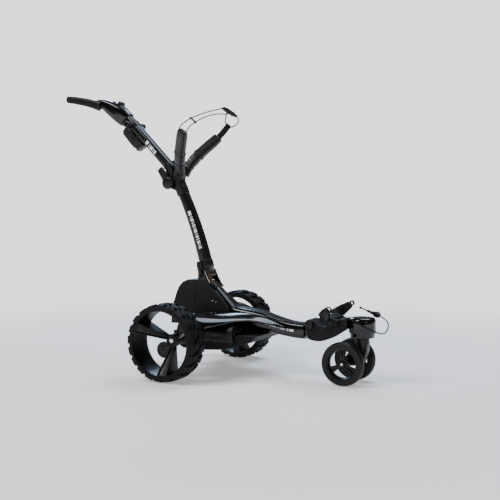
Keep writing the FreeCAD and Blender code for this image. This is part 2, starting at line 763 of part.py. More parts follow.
# ---- handle ----
def upper_tube():
    x = handle_axis_out
    outer = oval_bar(tube_w, tube_d, 38, 38 + handle_tube_length, x)
    inner = oval_bar(tube_w - 2 * tube_wall, tube_d - 2 * tube_wall, 0, 400, x)
    return on_handle(outer.cut(inner))


def handle_knuckle():
    """Fitting in the upper tube's end, with the barrel on the fold pin."""
    half = mast_top_w / 2 - 6 - part_gap
    x = handle_axis_out
    barrel = along_y(15.0, 0, 0, -half, half)
    link = plate([(-15, 0), (-8, 24), (x - 15, 38), (x + 14, 38), (x + 10, 30), (4, 12), (10, -6), (0, -14)],
                 -half, half)
    plug = oval_bar(tube_w - 2 * tube_wall, tube_d - 2 * tube_wall, 36, 70, x)
    link = barrel.fuse([link, plug])
    return on_handle(link.cut(along_y(5.0 + running_clearance, 0, 0, -60, 60)))


def console_body():
    """Handle's head: closed hollow housing with the controls on its face."""
    z0 = console_z
    rows = ((z0, -4, 52, 25), (z0 + 40, -10, 52, 29), (z0 + 62, -13, 45, 31), (z0 + 92, -13, 35, 34),
            (z0 + 112, -14, 26, 36), (z0 + 140, -30, 2, 36))
    shells = []
    for inset, first, last in ((0.0, 0.0, 0.0), (shell_wall, 6.0, 6.0)):
        wires = []
        for i, (z, x0, x1, half) in enumerate(rows):
            level = z + (first if i == 0 else 0) - (last if i == len(rows) - 1 else 0)
            a, b, c = x0 + inset, x1 - inset, half - inset
            wires.append(Part.makePolygon([V(a, -c, level), V(b, -c, level), V(b, c, level), V(a, c, level),
                                           V(a, -c, level)]))
        shells.append(Part.makeLoft(wires, True, True))
    body = shells[0].cut(shells[1])
    body = body.fuse([place_control(0, rod(7.0, (0, 0, -control_bore - 2), UP, control_bore)),
                      place_control(1, rod(power_r + 3, (0, 0, -control_bore - 2), UP, control_bore))])
    body = body.cut(place_control(0, rod(dial_stem_r + running_clearance, (0, 0, -control_bore), UP, 40)))
    body = body.cut(place_control(1, rod(power_r + 0.3, (0, 0, -8), UP, 20)))
    body = body.cut(place_control(1, rod(power_stem_r + running_clearance, (0, 0, -control_bore), UP, 20)))
    return on_handle(body)


def place_control(index, shape):
    """From a control's own frame, Z out of the console, to its place on the sloping face."""
    x, z, turn = CONTROLS[index]
    moved = shape.copy()
    moved.Placement = FreeCAD.Placement(V(x, 0, console_z + z), FreeCAD.Rotation(V(0, 1, 0), turn))
    return moved


def console_panel():
    z0 = console_z
    return on_handle(plate([(52, z0 + 4), (52, z0 + 36), (54, z0 + 36), (54, z0 + 4)], -21, 21))


def speed_dial():
    """Knob on a spindle."""
    knob = rod(dial_d / 2, (0, 0, 1), UP, 13)
    knob = knob.makeFillet(2.0, [e for e in knob.Edges if e.CenterOfMass.z > 13.5])
    return on_handle(place_control(0, knob.fuse(rod(dial_stem_r, (0, 0, -control_bore + 2), UP, control_bore))))


def power_button():
    stem = rod(power_stem_r, (0, 0, -control_bore + power_travel + 1), UP, control_bore)
    return on_handle(place_control(1, rod(power_r, (0, 0, -4), UP, 6).fuse(stem)))


def grips():
    """A swept grip each side of the console."""
    z0 = console_z
    bars = []
    for sign in (-1, 1):
        sections = []
        for y, x, z, wide, deep in ((36, -14, z0 + 122, 30, 36), (70, -23, z0 + 143, 27, 31),
                                    (108, -34, z0 + 159, 24, 27), (142, -44, z0 + 169, 22, 24)):
            e = Part.Ellipse(V(x, y, z), deep / 2, wide / 2).toShape()
            e.rotate(V(x, y, z), V(1, 0, 0), 90)
            sections.append(Part.Wire(e))
        bar = Part.makeLoft(sections, True, False)
        bars.append(bar if sign > 0 else mirror(bar))
    return on_handle(Part.Compound(bars))


def accessory_mount():
    """Cross bosses on the upper tube, each with a bore for an umbrella or phone holder."""
    z = 265.0
    x = handle_axis_out
    half = boss_span / 2
    bosses = along_y(12.0, x, z, -half, half).cut(oval_bar(tube_w, tube_d, z - 30, z + 30, x))
    bosses = bosses.cut(along_y(boss_bore_d / 2, x, z, half - 18, half + 1))
    bosses = bosses.cut(along_y(boss_bore_d / 2, x, z, -half - 1, -half + 18))
    return on_handle(bosses)


def remote_box():
    x = handle_axis_out - tube_d / 2
    shape = plate([(x, 178), (x, 284), (-17, 280), (-19, 196), (-6, 182)], -19, 19)
    return on_handle(shape)


def fold_pin():
    """Pin of the mid hinge, held in the hub's lugs."""
    w = mast_top_w / 2
    return along_y(5.0, fold_x, fold_z, -w + 2.3, w + 1.6)


def fold_lever():
    """Cam lever at the mid hinge, on a stub in the near lug."""
    w = mast_top_w / 2
    pin = along_y(5.0, 0, 0, -w - 2.6, -w + 1.7)
    drum = along_y(22.0, 0, 0, -w - 17, -w - 2.6)
    bar = box(-13, 13, -w - 17, -w - 5, 0, 62)
    return tilt(pin.fuse([drum, bar]), 30.0, fold_x, fold_z)


def mast_latch():
    """Latch lever beside the mast socket, on a stub pin in its cheek."""
    y = -(mast_w / 2 + part_gap + cheek_t) - part_gap
    blade = plate([(-9, 195), (1, 195), (4, 206), (-6, 252), (-14, 248), (-18, 236)], y - 8, y)
    return blade.fuse(along_y(3.0, latch_x, latch_z, y - 1, y + part_gap + cheek_t - 1))


# ---- build and export ----
def build():
    keep("spine_shell", spine_shell())
    keep("body_shell", body_shell())
    keep("chassis_beam", chassis_beam())
    keep("underpan", underpan())
    keep("axle_bearings", axle_bearings())
    keep("mast_socket", mast_socket())
    keep("pivot_pins", pivot_pins())
    keep("control_board", control_board())
    keep("anti_tip_arm", anti_tip_arm())
    keep("anti_tip_wheel", anti_tip_wheel())
    keep("battery_case", battery_case())
    keep("battery_cells", battery_cells())
    keep("battery_latch", battery_latch())
    for side, sign in SIDES:
        keep("wing_" + side, wing(sign))
        keep("gear_case_" + side, gear_case(sign))
        keep("motor_" + side, motor(sign))
        keep("rotor_" + side, rotor(sign))
        keep("drive_axle_" + side, drive_axle(sign))
        keep("tyre_" + side, tyre(sign))
        keep("rim_" + side, rim(sign))
        keep("release_button_" + side, release_button(sign))
        keep("front_tyre_" + side, front_tyre(sign))
        keep("front_rim_" + side, front_rim(sign))
        keep("yoke_arm_" + side, yoke_arm(sign))
    keep("front_arm", front_arm())
    keep("caster_head", caster_head())
    keep("caster_fork", caster_fork())
    keep("front_axle", front_axle())
    keep("cradle_base", cradle_base())
    keep("cradle_arms", cradle_arms())
    keep("lower_bungee", lower_bungee())
    keep("bungee_hook", bungee_hook())
    keep("mast_foot", mast_foot())
    keep("lower_tube", lower_tube())
    keep("yoke_hub", yoke_hub())
    keep("yoke_bungee", yoke_bungee())
    keep("yoke_buckle", yoke_buckle())
    keep("yoke_loop", yoke_loop())
    keep("yoke_strap", yoke_strap())
    keep("bungee_bridge", bungee_bridge())
    keep("upper_tube", upper_tube())
    keep("handle_knuckle", handle_knuckle())
    keep("console_body", console_body())
    keep("console_panel", console_panel())
    keep("speed_dial", speed_dial())
    keep("power_button", power_button())
    keep("grips", grips())
    keep("accessory_mount", accessory_mount())
    keep("remote_box", remote_box())
    keep("fold_pin", fold_pin())
    keep("fold_lever", fold_lever())
    keep("mast_latch", mast_latch())


def export():
    os.makedirs("parts", exist_ok=True)
    whole = FreeCAD.BoundBox()
    for name, shape in nodes.items():
        if name not in CORD_NODES:
            whole.add(shape.BoundBox)
    shift = V(-(whole.XMin + whole.XMax) / 2, 0, -whole.ZMin)
    print("moved on export by", tuple(round(v, 3) for v in shift))
    print("whole", [round(v, 1) for v in (whole.XLength, whole.YLength, whole.ZLength)])
    print("fold pin", round(fold_x + shift.x, 3), round(fold_z + shift.z, 3))
    for name, shape in nodes.items():
        moved = shape.copy()
        moved.translate(shift)
        print("%-22s solids %d valid %s volume %.0f" % (name, len(moved.Solids), moved.isValid(), moved.Volume))
        moved.exportStep(os.path.join("parts", name + ".step"))


build()
export()
print("nodes", len(nodes))
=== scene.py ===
"""Electric golf trolley: the visual model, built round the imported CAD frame."""

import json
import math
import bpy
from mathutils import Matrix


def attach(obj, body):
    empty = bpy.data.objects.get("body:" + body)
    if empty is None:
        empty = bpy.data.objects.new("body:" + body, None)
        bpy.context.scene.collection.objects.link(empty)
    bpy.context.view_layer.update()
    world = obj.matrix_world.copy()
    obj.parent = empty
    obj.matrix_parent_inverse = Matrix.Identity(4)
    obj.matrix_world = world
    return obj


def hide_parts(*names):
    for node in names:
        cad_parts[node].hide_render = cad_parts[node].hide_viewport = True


bl_info = {
    "name": "Electric Golf Trolley",
    "version": (1, 0, 0),
    "blender": (4, 5, 0),
    "location": "3D View > Sidebar > Trolley",
    "description": "Builds the trolley's tyres, covers, mast, handle and cords on its CAD frame",
    "category": "Add Mesh",
}

import bmesh
import bpy
from mathutils import Matrix, Vector

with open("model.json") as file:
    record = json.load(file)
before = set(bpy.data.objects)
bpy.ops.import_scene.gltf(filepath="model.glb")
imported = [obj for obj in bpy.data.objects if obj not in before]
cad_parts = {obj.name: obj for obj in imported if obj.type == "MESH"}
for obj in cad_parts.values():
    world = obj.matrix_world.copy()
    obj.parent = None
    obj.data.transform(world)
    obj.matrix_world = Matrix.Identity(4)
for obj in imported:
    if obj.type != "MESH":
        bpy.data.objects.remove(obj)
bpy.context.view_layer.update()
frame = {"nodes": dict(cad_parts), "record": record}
JOINTS = {j["name"]: j for j in frame["record"]["behaviour"]["joints"]}
NODES = frame["nodes"]
MM = 0.001
ACROSS = (0, 1, 0)
UPRIGHT = (0, 0, 1)


def joint_place(name, lean=0.0):
    """A frame in millimetres at a joint, leaning back by so many degrees."""
    spot = Vector(JOINTS[name]["pos_m"])
    spot.y = 0.0
    return Matrix.Translation(spot) @ Matrix.Rotation(-math.radians(lean), 4, "Y") @ Matrix.Scale(MM, 4)


CHASSIS = joint_place("wheel_right_spin")
MAST_LEAN = 20.6
HANDLE_LEAN = 44.7
LEVER_LEAN = 30.0
MAST = joint_place("mast_fold", MAST_LEAN)
HANDLE = joint_place("handle_fold", HANDLE_LEAN)
SIDES = (("right", -1), ("left", 1))

WHEELBASE = 533.0
REAR_R = 127.0
REAR_IN = 208.0
REAR_OUT = 295.0
RIM_R = 107.0
FRONT_R = 70.0
FRONT_Y = 55.0
FRONT_Z = -57.0
SWIVEL_X = 578.0
SEAM_X = -20.0
MAST_TOP = 316.0
CONSOLE_Z = 300.0
CORD_D = 4.0
TUBE_FOOT = 22.0
TUBE_RUN = 294.0
UPPER_X = 34.3
UPPER_HALF = (15.9, 19.9)
MOTOR = (0, 100, 18)
TIP_AXLE = (-174, 0, -76)

CAMERA_SPOT = (1.4260, -2.3700, 0.5380)
CAMERA_LENS = 56.9
CAMERA_DOWN = 2.54
CAMERA_TURN = 27.83
FAR_GLOW = 1.9
NEAR_GLOW = 0.35
ROOM_GLOW = 0.12


def linear(hex_colour):
    """An sRGB hex colour as linear RGB."""
    parts = [int(hex_colour[i:i + 2], 16) / 255 for i in (0, 2, 4)]
    return tuple(p / 12.92 if p <= 0.04045 else ((p + 0.055) / 1.055) ** 2.4 for p in parts)


def colour_property(name, description, hex_colour):
    return bpy.props.FloatVectorProperty(
        name=name, description=description, subtype="COLOR", size=3, min=0.0, max=1.0, default=linear(hex_colour)
    )


def length_property(name, description, millimetres):
    return bpy.props.FloatProperty(
        name=name, description=description, unit="LENGTH", min=0.0, default=millimetres * MM
    )


class TrolleyColours(bpy.types.PropertyGroup):
    """Colours of the trolley's finishes."""

    gloss: colour_property("Gloss covers", "Polished black of the wings, spine and console", "020203")
    matte: colour_property("Matte covers", "Textured charcoal of the battery and underpan", "09090A")
    tube: colour_property("Tube coat", "Satin powder coat on the mast", "070708")
    rubber: colour_property("Tyre rubber", "Rubber of the tyres", "0B0B0B")
    print_white: colour_property("Printed marks", "Plain printed bars on the mast and spine", "E4E6E8")
    brass: colour_property("Brass strip", "Brown metal strip on the mast's collar", "9A6B3C")


class TrolleySizes(bpy.types.PropertyGroup):
    """Sizes of the details."""

    lug_count: bpy.props.IntProperty(name="Lugs a side", description="Tread lugs round each shoulder", default=20,
                                     min=8)
    lug_height: length_property("Lug height", "Height of the tread lugs", 7.0)
    cover_edge: length_property("Cover edge", "Rounding of the moulded covers' edges", 7.0)
    strap_width: length_property("Strap width", "Width of the webbing strap", 24.0)


# ---- materials ----
def add(tree, kind, inputs=None, **settings):
    """One shader node, with its settings, its values and its links."""
    node = tree.nodes.new("ShaderNode" + kind)
    for key, value in settings.items():
        setattr(node, key, value)
    for key, value in (inputs or {}).items():
        if isinstance(value, bpy.types.NodeSocket):
            tree.links.new(value, node.inputs[key])
        else:
            node.inputs[key].default_value = value
    return node


def shades(colour, share):
    """The colour a little darker and a little lighter."""
    return [tuple(min(1.0, c * k) for c in colour) + (1.0,) for k in (1.0 - share, 1.0 + share)]


def surface(name, colour, roughness, spread=0.08, grain=1.2, depth=0.04, mottle=0.1, blotch=60.0, height=None,
            **shader):
    """A finish with tone and gloss that vary over blotches, and a fine relief of so many millimetres."""
    material = bpy.data.materials.new(name)
    material.use_nodes = True
    tree = material.node_tree
    tree.nodes.clear()
    where = add(tree, "TexCoord").outputs["Object"]
    cloud = add(tree, "TexNoise", {"Vector": where, "Scale": 1000 / blotch, "Detail": 5.0, "Roughness": 0.62})
    fine = add(tree, "TexNoise", {"Vector": where, "Scale": 1000 / grain, "Detail": 3.0, "Roughness": 0.5})
    dark, light = shades(colour, mottle)
    tone = add(tree, "Mix", {0: cloud.outputs[0], 6: dark, 7: light}, data_type="RGBA")
    gloss = add(tree, "MapRange", {"Value": cloud.outputs[0], "From Min": 0.3, "From Max": 0.7,
                                   "To Min": max(0.02, roughness - spread), "To Max": roughness + spread})
    relief = height(tree, where, fine.outputs[0]) if height else fine.outputs[0]
    bump = add(tree, "Bump", {"Height": relief, "Distance": depth * MM, "Strength": 1.0})
    values = {"Base Color": tone.outputs[2], "Roughness": gloss.outputs[0], "Normal": bump.outputs[0]}
    values.update(shader)
    body = add(tree, "BsdfPrincipled", values)
    add(tree, "OutputMaterial", {"Surface": body.outputs[0]})
    return material


def braid(pitch):
    """Two crossing sets of threads, for woven sleeves and webbing."""
    def height(tree, where, fine):
        waves = []
        for turn in (0.7, -0.7):
            turned = add(tree, "Mapping", {"Vector": where, "Rotation": (turn, turn, turn * 0.6)})
            waves.append(add(tree, "TexWave", {"Vector": turned.outputs[0], "Scale": 1000 / pitch / 6.28,
                                               "Distortion": 0.4}))
        return add(tree, "Math", {0: waves[0].outputs[1], 1: waves[1].outputs[1]}, operation="MAXIMUM").outputs[0]
    return height


def cells(size):
    """Small cells with valleys between them, as on a spark-eroded mould or worn rubber."""
    def height(tree, where, fine):
        pebbles = add(tree, "TexVoronoi", {"Vector": where, "Scale": 1000 / size})
        return add(tree, "Math", {0: pebbles.outputs[0], 1: fine}, operation="ADD").outputs[0]
    return height


def brushed(tree, where, fine):
    """Fine lines along Y from turning or brushing."""
    drawn = add(tree, "Mapping", {"Vector": where, "Scale": (900.0, 30.0, 900.0)})
    return add(tree, "TexNoise", {"Vector": drawn.outputs[0], "Scale": 1.0, "Detail": 4.0}).outputs[0]


def make_materials(look):
    """Every finish on the trolley, by name."""
    made = {}
    # polished black ABS under clear lacquer: deep reflections with faint ripples and dust
    made["gloss"] = surface("Lacquered black ABS", look.gloss, 0.13, 0.05, 9.0, 0.05, 0.2, 90.0,
                            IOR=1.5, **{"Specular IOR Level": 0.3, "Coat Weight": 0.3, "Coat Roughness": 0.05})
    # spark-eroded ABS: a dry, even charcoal with a grain drawn at 1.4 mm so that it shows
    made["matte"] = surface("Textured moulded ABS", look.matte, 0.56, 0.07, 0.7, 0.09, 0.12, 45.0, cells(1.4),
                            IOR=1.5, **{"Specular IOR Level": 0.26})
    # glass-filled nylon: satin with flow marks
    made["nylon"] = surface("Glass-filled nylon", shades(look.matte, 0.35)[0][:3], 0.4, 0.08, 1.6, 0.05, 0.18, 30.0,
                            IOR=1.53, **{"Specular IOR Level": 0.32})
    # powder coat on aluminium tube: satin with a slight orange peel of 2.5 mm
    made["coat"] = surface("Satin powder coat", look.tube, 0.3, 0.05, 2.5, 0.035, 0.1, 70.0, IOR=1.5,
                           **{"Specular IOR Level": 0.34, "Coat Weight": 0.1, "Coat Roughness": 0.2})
    made["cast"] = surface("Coated die casting", look.tube, 0.42, 0.08, 1.1, 0.08, 0.15, 25.0, cells(2.2), IOR=1.5,
                           **{"Specular IOR Level": 0.32})
    # tyre rubber: dry, dusty in the hollows
    made["rubber"] = surface("Moulded tyre rubber", look.rubber, 0.68, 0.1, 1.8, 0.18, 0.32, 18.0, cells(3.0),
                             IOR=1.52, **{"Specular IOR Level": 0.22})
    made["pad"] = surface("Soft-touch rubber pad", shades(look.rubber, 0.3)[1][:3], 0.46, 0.08, 1.0, 0.05, 0.12, 30.0,
                          IOR=1.52, **{"Specular IOR Level": 0.3})
    made["grip"] = surface("Pebbled grip rubber", look.rubber, 0.55, 0.06, 1.2, 0.16, 0.15, 30.0, cells(2.0), IOR=1.5,
                           **{"Specular IOR Level": 0.26})
    made["webbing"] = surface("Polyester webbing", linear("070708"), 0.78, 0.06, 0.8, 0.35, 0.2, 12.0, braid(2.4),
                              IOR=1.5, **{"Specular IOR Level": 0.2, "Sheen Weight": 0.05})
    made["elastic"] = surface("Braided elastic sleeve", linear("060607"), 0.7, 0.06, 0.8, 0.25, 0.2, 10.0, braid(1.8),
                              IOR=1.5, **{"Specular IOR Level": 0.2, "Sheen Weight": 0.05})
    made["steel"] = surface("Ground steel", linear("B9BBBE"), 0.3, 0.08, 1.0, 0.02, 0.1, 20.0, brushed,
                            Metallic=1.0)
    made["bright"] = surface("Turned aluminium", linear("D8D3CF"), 0.24, 0.05, 1.0, 0.02, 0.06, 15.0, brushed,
                             Metallic=1.0)
    made["brass"] = surface("Anodised bronze strip", look.brass, 0.3, 0.06, 1.0, 0.02, 0.15, 12.0, brushed,
                            Metallic=1.0)
    made["alloy"] = surface("Extruded aluminium", linear("A9ABAD"), 0.36, 0.06, 1.0, 0.02, 0.1, 40.0, brushed,
                            Metallic=1.0)
    made["glass"] = surface("Smoked display window", linear("0A0D10"), 0.07, 0.03, 8.0, 0.01, 0.1, 50.0, IOR=1.52,
                            **{"Coat Weight": 0.5, "Coat Roughness": 0.02})
    made["mark"] = surface("White screen print", look.print_white, 0.42, 0.05, 1.5, 0.02, 0.05, 12.0, IOR=1.5)
    made["grey"] = surface("Grey key print", linear("6E747B"), 0.45, 0.05, 1.5, 0.02, 0.08, 12.0, IOR=1.5)
    made["board"] = surface("Solder-masked laminate", linear("1E5A34"), 0.35, 0.05, 1.5, 0.03, 0.2, 9.0, IOR=1.5)
    made["sleeve"] = surface("Shrink sleeve on cells", linear("274C86"), 0.3, 0.05, 2.0, 0.03, 0.1, 20.0, IOR=1.5)
    return made


# ---- modelling ----
def soft(value, power):
    """One coordinate of a circle pushed towards a square."""
    return math.copysign(abs(value) ** (2.0 / power), value)


def ring(bm, place, half_x, half_y, power=2.0, count=32, flare=0.0):
    """A closed loop in a place's XY plane, from round at power 2 to nearly square; flare widens its low side."""
    made = bmesh.ops.create_circle(bm, cap_ends=False, segments=count, radius=1.0,
                                   matrix=Matrix.Rotation(math.pi / count, 4, "Z"))
    for v in made["verts"]:
        x, y = soft(v.co.x, power), soft(v.co.y, power)
        v.co = place @ Vector((x * half_x * (1.0 - flare * y), y * half_y, 0.0))
    return list({e for v in made["verts"] for e in v.link_edges})


def close_loop(bm, edges):
    bmesh.ops.contextual_create(bm, geom=edges)


def skin_rings(bm, rings):
    """Faces between closed loops, with both ends closed."""
    for a, b in zip(rings, rings[1:]):
        bmesh.ops.bridge_loops(bm, edges=a + b)
    close_loop(bm, rings[0])
    close_loop(bm, rings[-1])


def plane_at(centre, direction, up):
    """A frame whose Z runs along a direction and whose Y leans to up."""
    z = Vector(direction).normalized()
    x = Vector(up).cross(z).normalized()
    place = Matrix((x, z.cross(x), z)).transposed().to_4x4()
    place.translation = Vector(centre)
    return place


END_TURNS = (80.0, 50.0, 22.0)


def bar(bm, stations, up=UPRIGHT, power=3.0, count=32, ends=(2.0, 2.0)):
    """A bar through stations of (centre, half across, half up), each end rounded by its radius."""
    centres = [Vector(s[0]) for s in stations]
    last = len(stations) - 1
    rows = []
    for i, (centre, a, b) in enumerate(stations):
        direction = centres[min(i + 1, last)] - centres[max(i - 1, 0)]
        rows.append([plane_at(centre, direction, up), a, b])
    for row, way, r in ((rows[0], 1.0, ends[0]), (rows[last], -1.0, ends[1])):
        row[0] = row[0] @ Matrix.Translation((0, 0, way * r))
    def tips(row, way, r):
        out = []
        for turn in END_TURNS:
            t = math.radians(turn)
            less = r * (1.0 - math.cos(t))
            out.append((row[0] @ Matrix.Translation((0, 0, way * r * math.sin(t))), row[1] - less, row[2] - less))
        return out
    full = tips(rows[0], -1.0, ends[0]) + [tuple(r) for r in rows] + tips(rows[last], 1.0, ends[1])[::-1]
    skin_rings(bm, [ring(bm, place, a, b, power, count) for place, a, b in full])


def lathe(bm, profile, centre=(0, 0, 0), axis=ACROSS, steps=64):
    """A closed ring from a profile of (radius, along) points, turned round an axis."""
    spot, axis = Vector(centre), Vector(axis).normalized()
    out = Vector(UPRIGHT) if abs(axis.z) < 0.5 else Vector((1, 0, 0))
    out = (out - axis * out.dot(axis)).normalized()
    verts = [bm.verts.new(spot + out * r + axis * a) for r, a in profile]
    edges = [bm.edges.new(pair) for pair in zip(verts, verts[1:] + verts[:1])]
    if profile[0][0] == 0.0:
        bm.edges.remove(edges.pop())
    bmesh.ops.spin(bm, geom=verts + edges, cent=spot, axis=axis, angle=math.tau, steps=steps, use_merge=True)


def slab(bm, outline, y0, y1):
    """A prism across Y from an outline of (x, z) points."""
    face = bm.faces.new([bm.verts.new((x, y0, z)) for x, z in outline])
    made = bmesh.ops.extrude_face_region(bm, geom=[face])["geom"]
    verts = [v for v in made if isinstance(v, bmesh.types.BMVert)]
    bmesh.ops.translate(bm, verts=verts, vec=(0, y1 - y0, 0))
    faces = {f for v in verts for f in v.link_faces} | {face}
    return verts, list(faces)


def thicken(bm, faces, move):
    """Extrudes faces by a vector, and gives all that this made."""
    made = bmesh.ops.extrude_face_region(bm, geom=faces)["geom"]
    bmesh.ops.translate(bm, verts=[v for v in made if isinstance(v, bmesh.types.BMVert)], vec=move)
    return made


def faces_at(verts):
    return list({f for v in verts for f in v.link_faces})


def unit_grid(bm, along, across):
    """The corners of a flat unit grid about the origin, ready to be laid on a shape."""
    return bmesh.ops.create_grid(bm, x_segments=along, y_segments=across, size=0.5)["verts"]


def stick(bm, start, end, radius, count=28, edge=0.8, tip=None):
    """A round rod between two points, its edges eased."""
    start, end = Vector(start), Vector(end)
    place = plane_at((start + end) / 2, end - start, (0.3, 0.2, 1))
    made = bmesh.ops.create_cone(bm, cap_ends=True, segments=count, radius1=radius, radius2=tip or radius,
                                 depth=(end - start).length, matrix=place)
    if edge:
        rims = {e for v in made["verts"] for e in v.link_edges if any(len(f.verts) == count for f in e.link_faces)}
        bevel(bm, rims, edge, 2)


def bevel(bm, edges, width, segments=3):
    bmesh.ops.bevel(bm, geom=list(edges), offset=width, segments=segments, profile=0.5, affect="EDGES",
                    material=-1, clamp_overlap=True)


def corners(faces_or_bm, least=25.0):
    """Edges that turn by more than so many degrees."""
    whole = isinstance(faces_or_bm, bmesh.types.BMesh)
    edges = faces_or_bm.edges if whole else {e for f in faces_or_bm for e in f.edges}
    return [e for e in edges if len(e.link_faces) == 2 and math.degrees(e.calc_face_angle(0.0)) > least]


def piece(name, bm, place, body, material, nodes=(), levels=0, flip=False, sharp=38.0, wall=0.0):
    """The finished object: its mesh in the row frame, on its body, standing for its CAD nodes."""
    bmesh.ops.remove_doubles(bm, verts=bm.verts, dist=0.01)
    if flip:
        bmesh.ops.scale(bm, vec=(1, -1, 1), verts=bm.verts)
    bmesh.ops.recalc_face_normals(bm, faces=bm.faces)
    for face in bm.faces:
        face.smooth = True
    for edge in corners(bm, sharp):
        edge.smooth = False
    bmesh.ops.transform(bm, matrix=place, verts=bm.verts)
    mesh = bpy.data.meshes.new(name)
    bm.to_mesh(mesh)
    bm.free()
    mesh.materials.append(material)
    made = bpy.data.objects.new(name, mesh)
    bpy.context.scene.collection.objects.link(made)
    if wall:
        made.modifiers.new("Wall", "SOLIDIFY").thickness = wall * MM
        made.modifiers["Wall"].offset = -1.0
    if levels:
        smooth = made.modifiers.new("Smooth", "SUBSURF")
        smooth.levels = smooth.render_levels = levels
    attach(made, body)
    if nodes:
        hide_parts(*nodes)
    return made


def dress(material, *nodes):
    """A CAD node that shows as it is gets a finish."""
    for node in nodes:
        for slot in NODES[node].material_slots:
            slot.material = material


class TrolleyOperator:
    """What the operators share."""

    bl_options = {"REGISTER", "UNDO"}
    finishes = {}

    def execute(self, context):
        if not self.finishes:
            self.finishes.update(make_materials(context.scene.trolley_colours))
        self.build(self.finishes, context.scene.trolley_sizes)
        return {"FINISHED"}


# ---- stage ----
class TROLLEY_OT_stage(TrolleyOperator, bpy.types.Operator):
    """Camera, soft lights and a pale floor"""

    bl_idname = "trolley.stage"
    bl_label = "Stage"

    def build(self, m, sizes):
        camera = bpy.data.objects.new("Camera", bpy.data.cameras.new("Camera"))
        camera.data.lens = CAMERA_LENS
        camera.data.sensor_width = 36.0
        camera.location = Vector(CAMERA_SPOT) + Vector((CHASSIS.translation.x, 0, 0))
        camera.rotation_euler = (math.radians(90.0 - CAMERA_DOWN), 0.0, math.radians(CAMERA_TURN))
        bpy.context.scene.collection.objects.link(camera)
        bpy.context.scene.camera = camera
        bm = bmesh.new()
        bmesh.ops.create_circle(bm, cap_ends=True, segments=96, radius=30.0)
        mesh = bpy.data.meshes.new("floor")
        bm.to_mesh(mesh)
        bm.free()
        floor = bpy.data.objects.new("floor", mesh)
        bpy.context.scene.collection.objects.link(floor)
        floor.data.materials.append(self.floor_paint())
        self.light("Key", (-1.5, -2.4, 3.6), (0.0, 0.0, 0.3), 2.0, 120.0, "FFFFFF")
        self.light("Sky", (0.6, 1.4, 3.4), (0.1, 0.0, 0.2), 2.2, 90.0, "E4EEFF")
        self.light("Fill", (3.4, -2.2, 1.3), (0.2, 0.0, 0.3), 0.7, 14.0, "FFF4EA")
        self.light("Panel", (-1.6, 2.3, 1.7), (-0.05, -0.1, 0.2), 1.2, 36.0, "BFDCFF")
        world = bpy.data.worlds.new("Studio")
        world.use_nodes = True
        bpy.context.scene.world = world
        tree = world.node_tree
        tree.nodes.clear()
        seen = add(tree, "LightPath").outputs["Is Camera Ray"]
        glow = add(tree, "MapRange", {"Value": seen, "To Min": ROOM_GLOW, "To Max": FAR_GLOW})
        ground = add(tree, "Background", {"Color": (1.0, 1.0, 1.0, 1.0), "Strength": glow.outputs[0]})
        add(tree, "OutputWorld", {"Surface": ground.outputs[0]})

    def floor_paint(self):
        paint = bpy.data.materials.new("Pale matte floor")
        paint.use_nodes = True
        tree = paint.node_tree
        tree.nodes.clear()
        where = add(tree, "TexCoord").outputs["Object"]
        away = add(tree, "VectorMath", {0: where}, operation="LENGTH")
        share = add(tree, "MapRange", {"Value": away.outputs["Value"], "From Min": 0.9, "From Max": 2.6},
                    interpolation_type="SMOOTHSTEP")
        plain = add(tree, "BsdfDiffuse", {"Color": (0.9, 0.9, 0.9, 1.0)})
        glow = add(tree, "Emission", {"Color": (1.0, 1.0, 1.0, 1.0), "Strength": NEAR_GLOW})
        near = add(tree, "AddShader", {0: plain.outputs[0], 1: glow.outputs[0]})
        far = add(tree, "Emission", {"Color": (1.0, 1.0, 1.0, 1.0), "Strength": FAR_GLOW})
        both = add(tree, "MixShader", {0: share.outputs[0], 1: near.outputs[0], 2: far.outputs[0]})
        add(tree, "OutputMaterial", {"Surface": both.outputs[0]})
        return paint

    def light(self, name, place, aim, size, power, tint):
        lamp = bpy.data.lights.new(name, "AREA")
        lamp.shape = "DISK"
        lamp.size = size
        lamp.energy = power
        lamp.color = linear(tint)
        holder = bpy.data.objects.new(name, lamp)
        holder.location = place
        holder.rotation_euler = (Vector(aim) - Vector(place)).to_track_quat("-Z", "Y").to_euler()
        holder.visible_camera = False
        bpy.context.scene.collection.objects.link(holder)


# ---- cords ----
def cord_curve(name, place, points, material, body, nodes):
    """A smooth round cord with its route's points as the spline's own."""
    data = bpy.data.curves.new(name, "CURVE")
    data.dimensions = "3D"
    data.bevel_depth = CORD_D / 2 * MM
    data.bevel_resolution = 5
    data.resolution_u = 12
    data.use_fill_caps = True
    spline = data.splines.new("NURBS")
    spline.points.add(len(points) - 1)
    for spot, point in zip(spline.points, points):
        spot.co = (*(place @ Vector(point)), 1.0)
    spline.order_u = 3
    spline.use_endpoint_u = True
    data.materials.append(material)
    made = bpy.data.objects.new(name, data)
    bpy.context.scene.collection.objects.link(made)
    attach(made, body)
    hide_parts(*nodes)
    return made


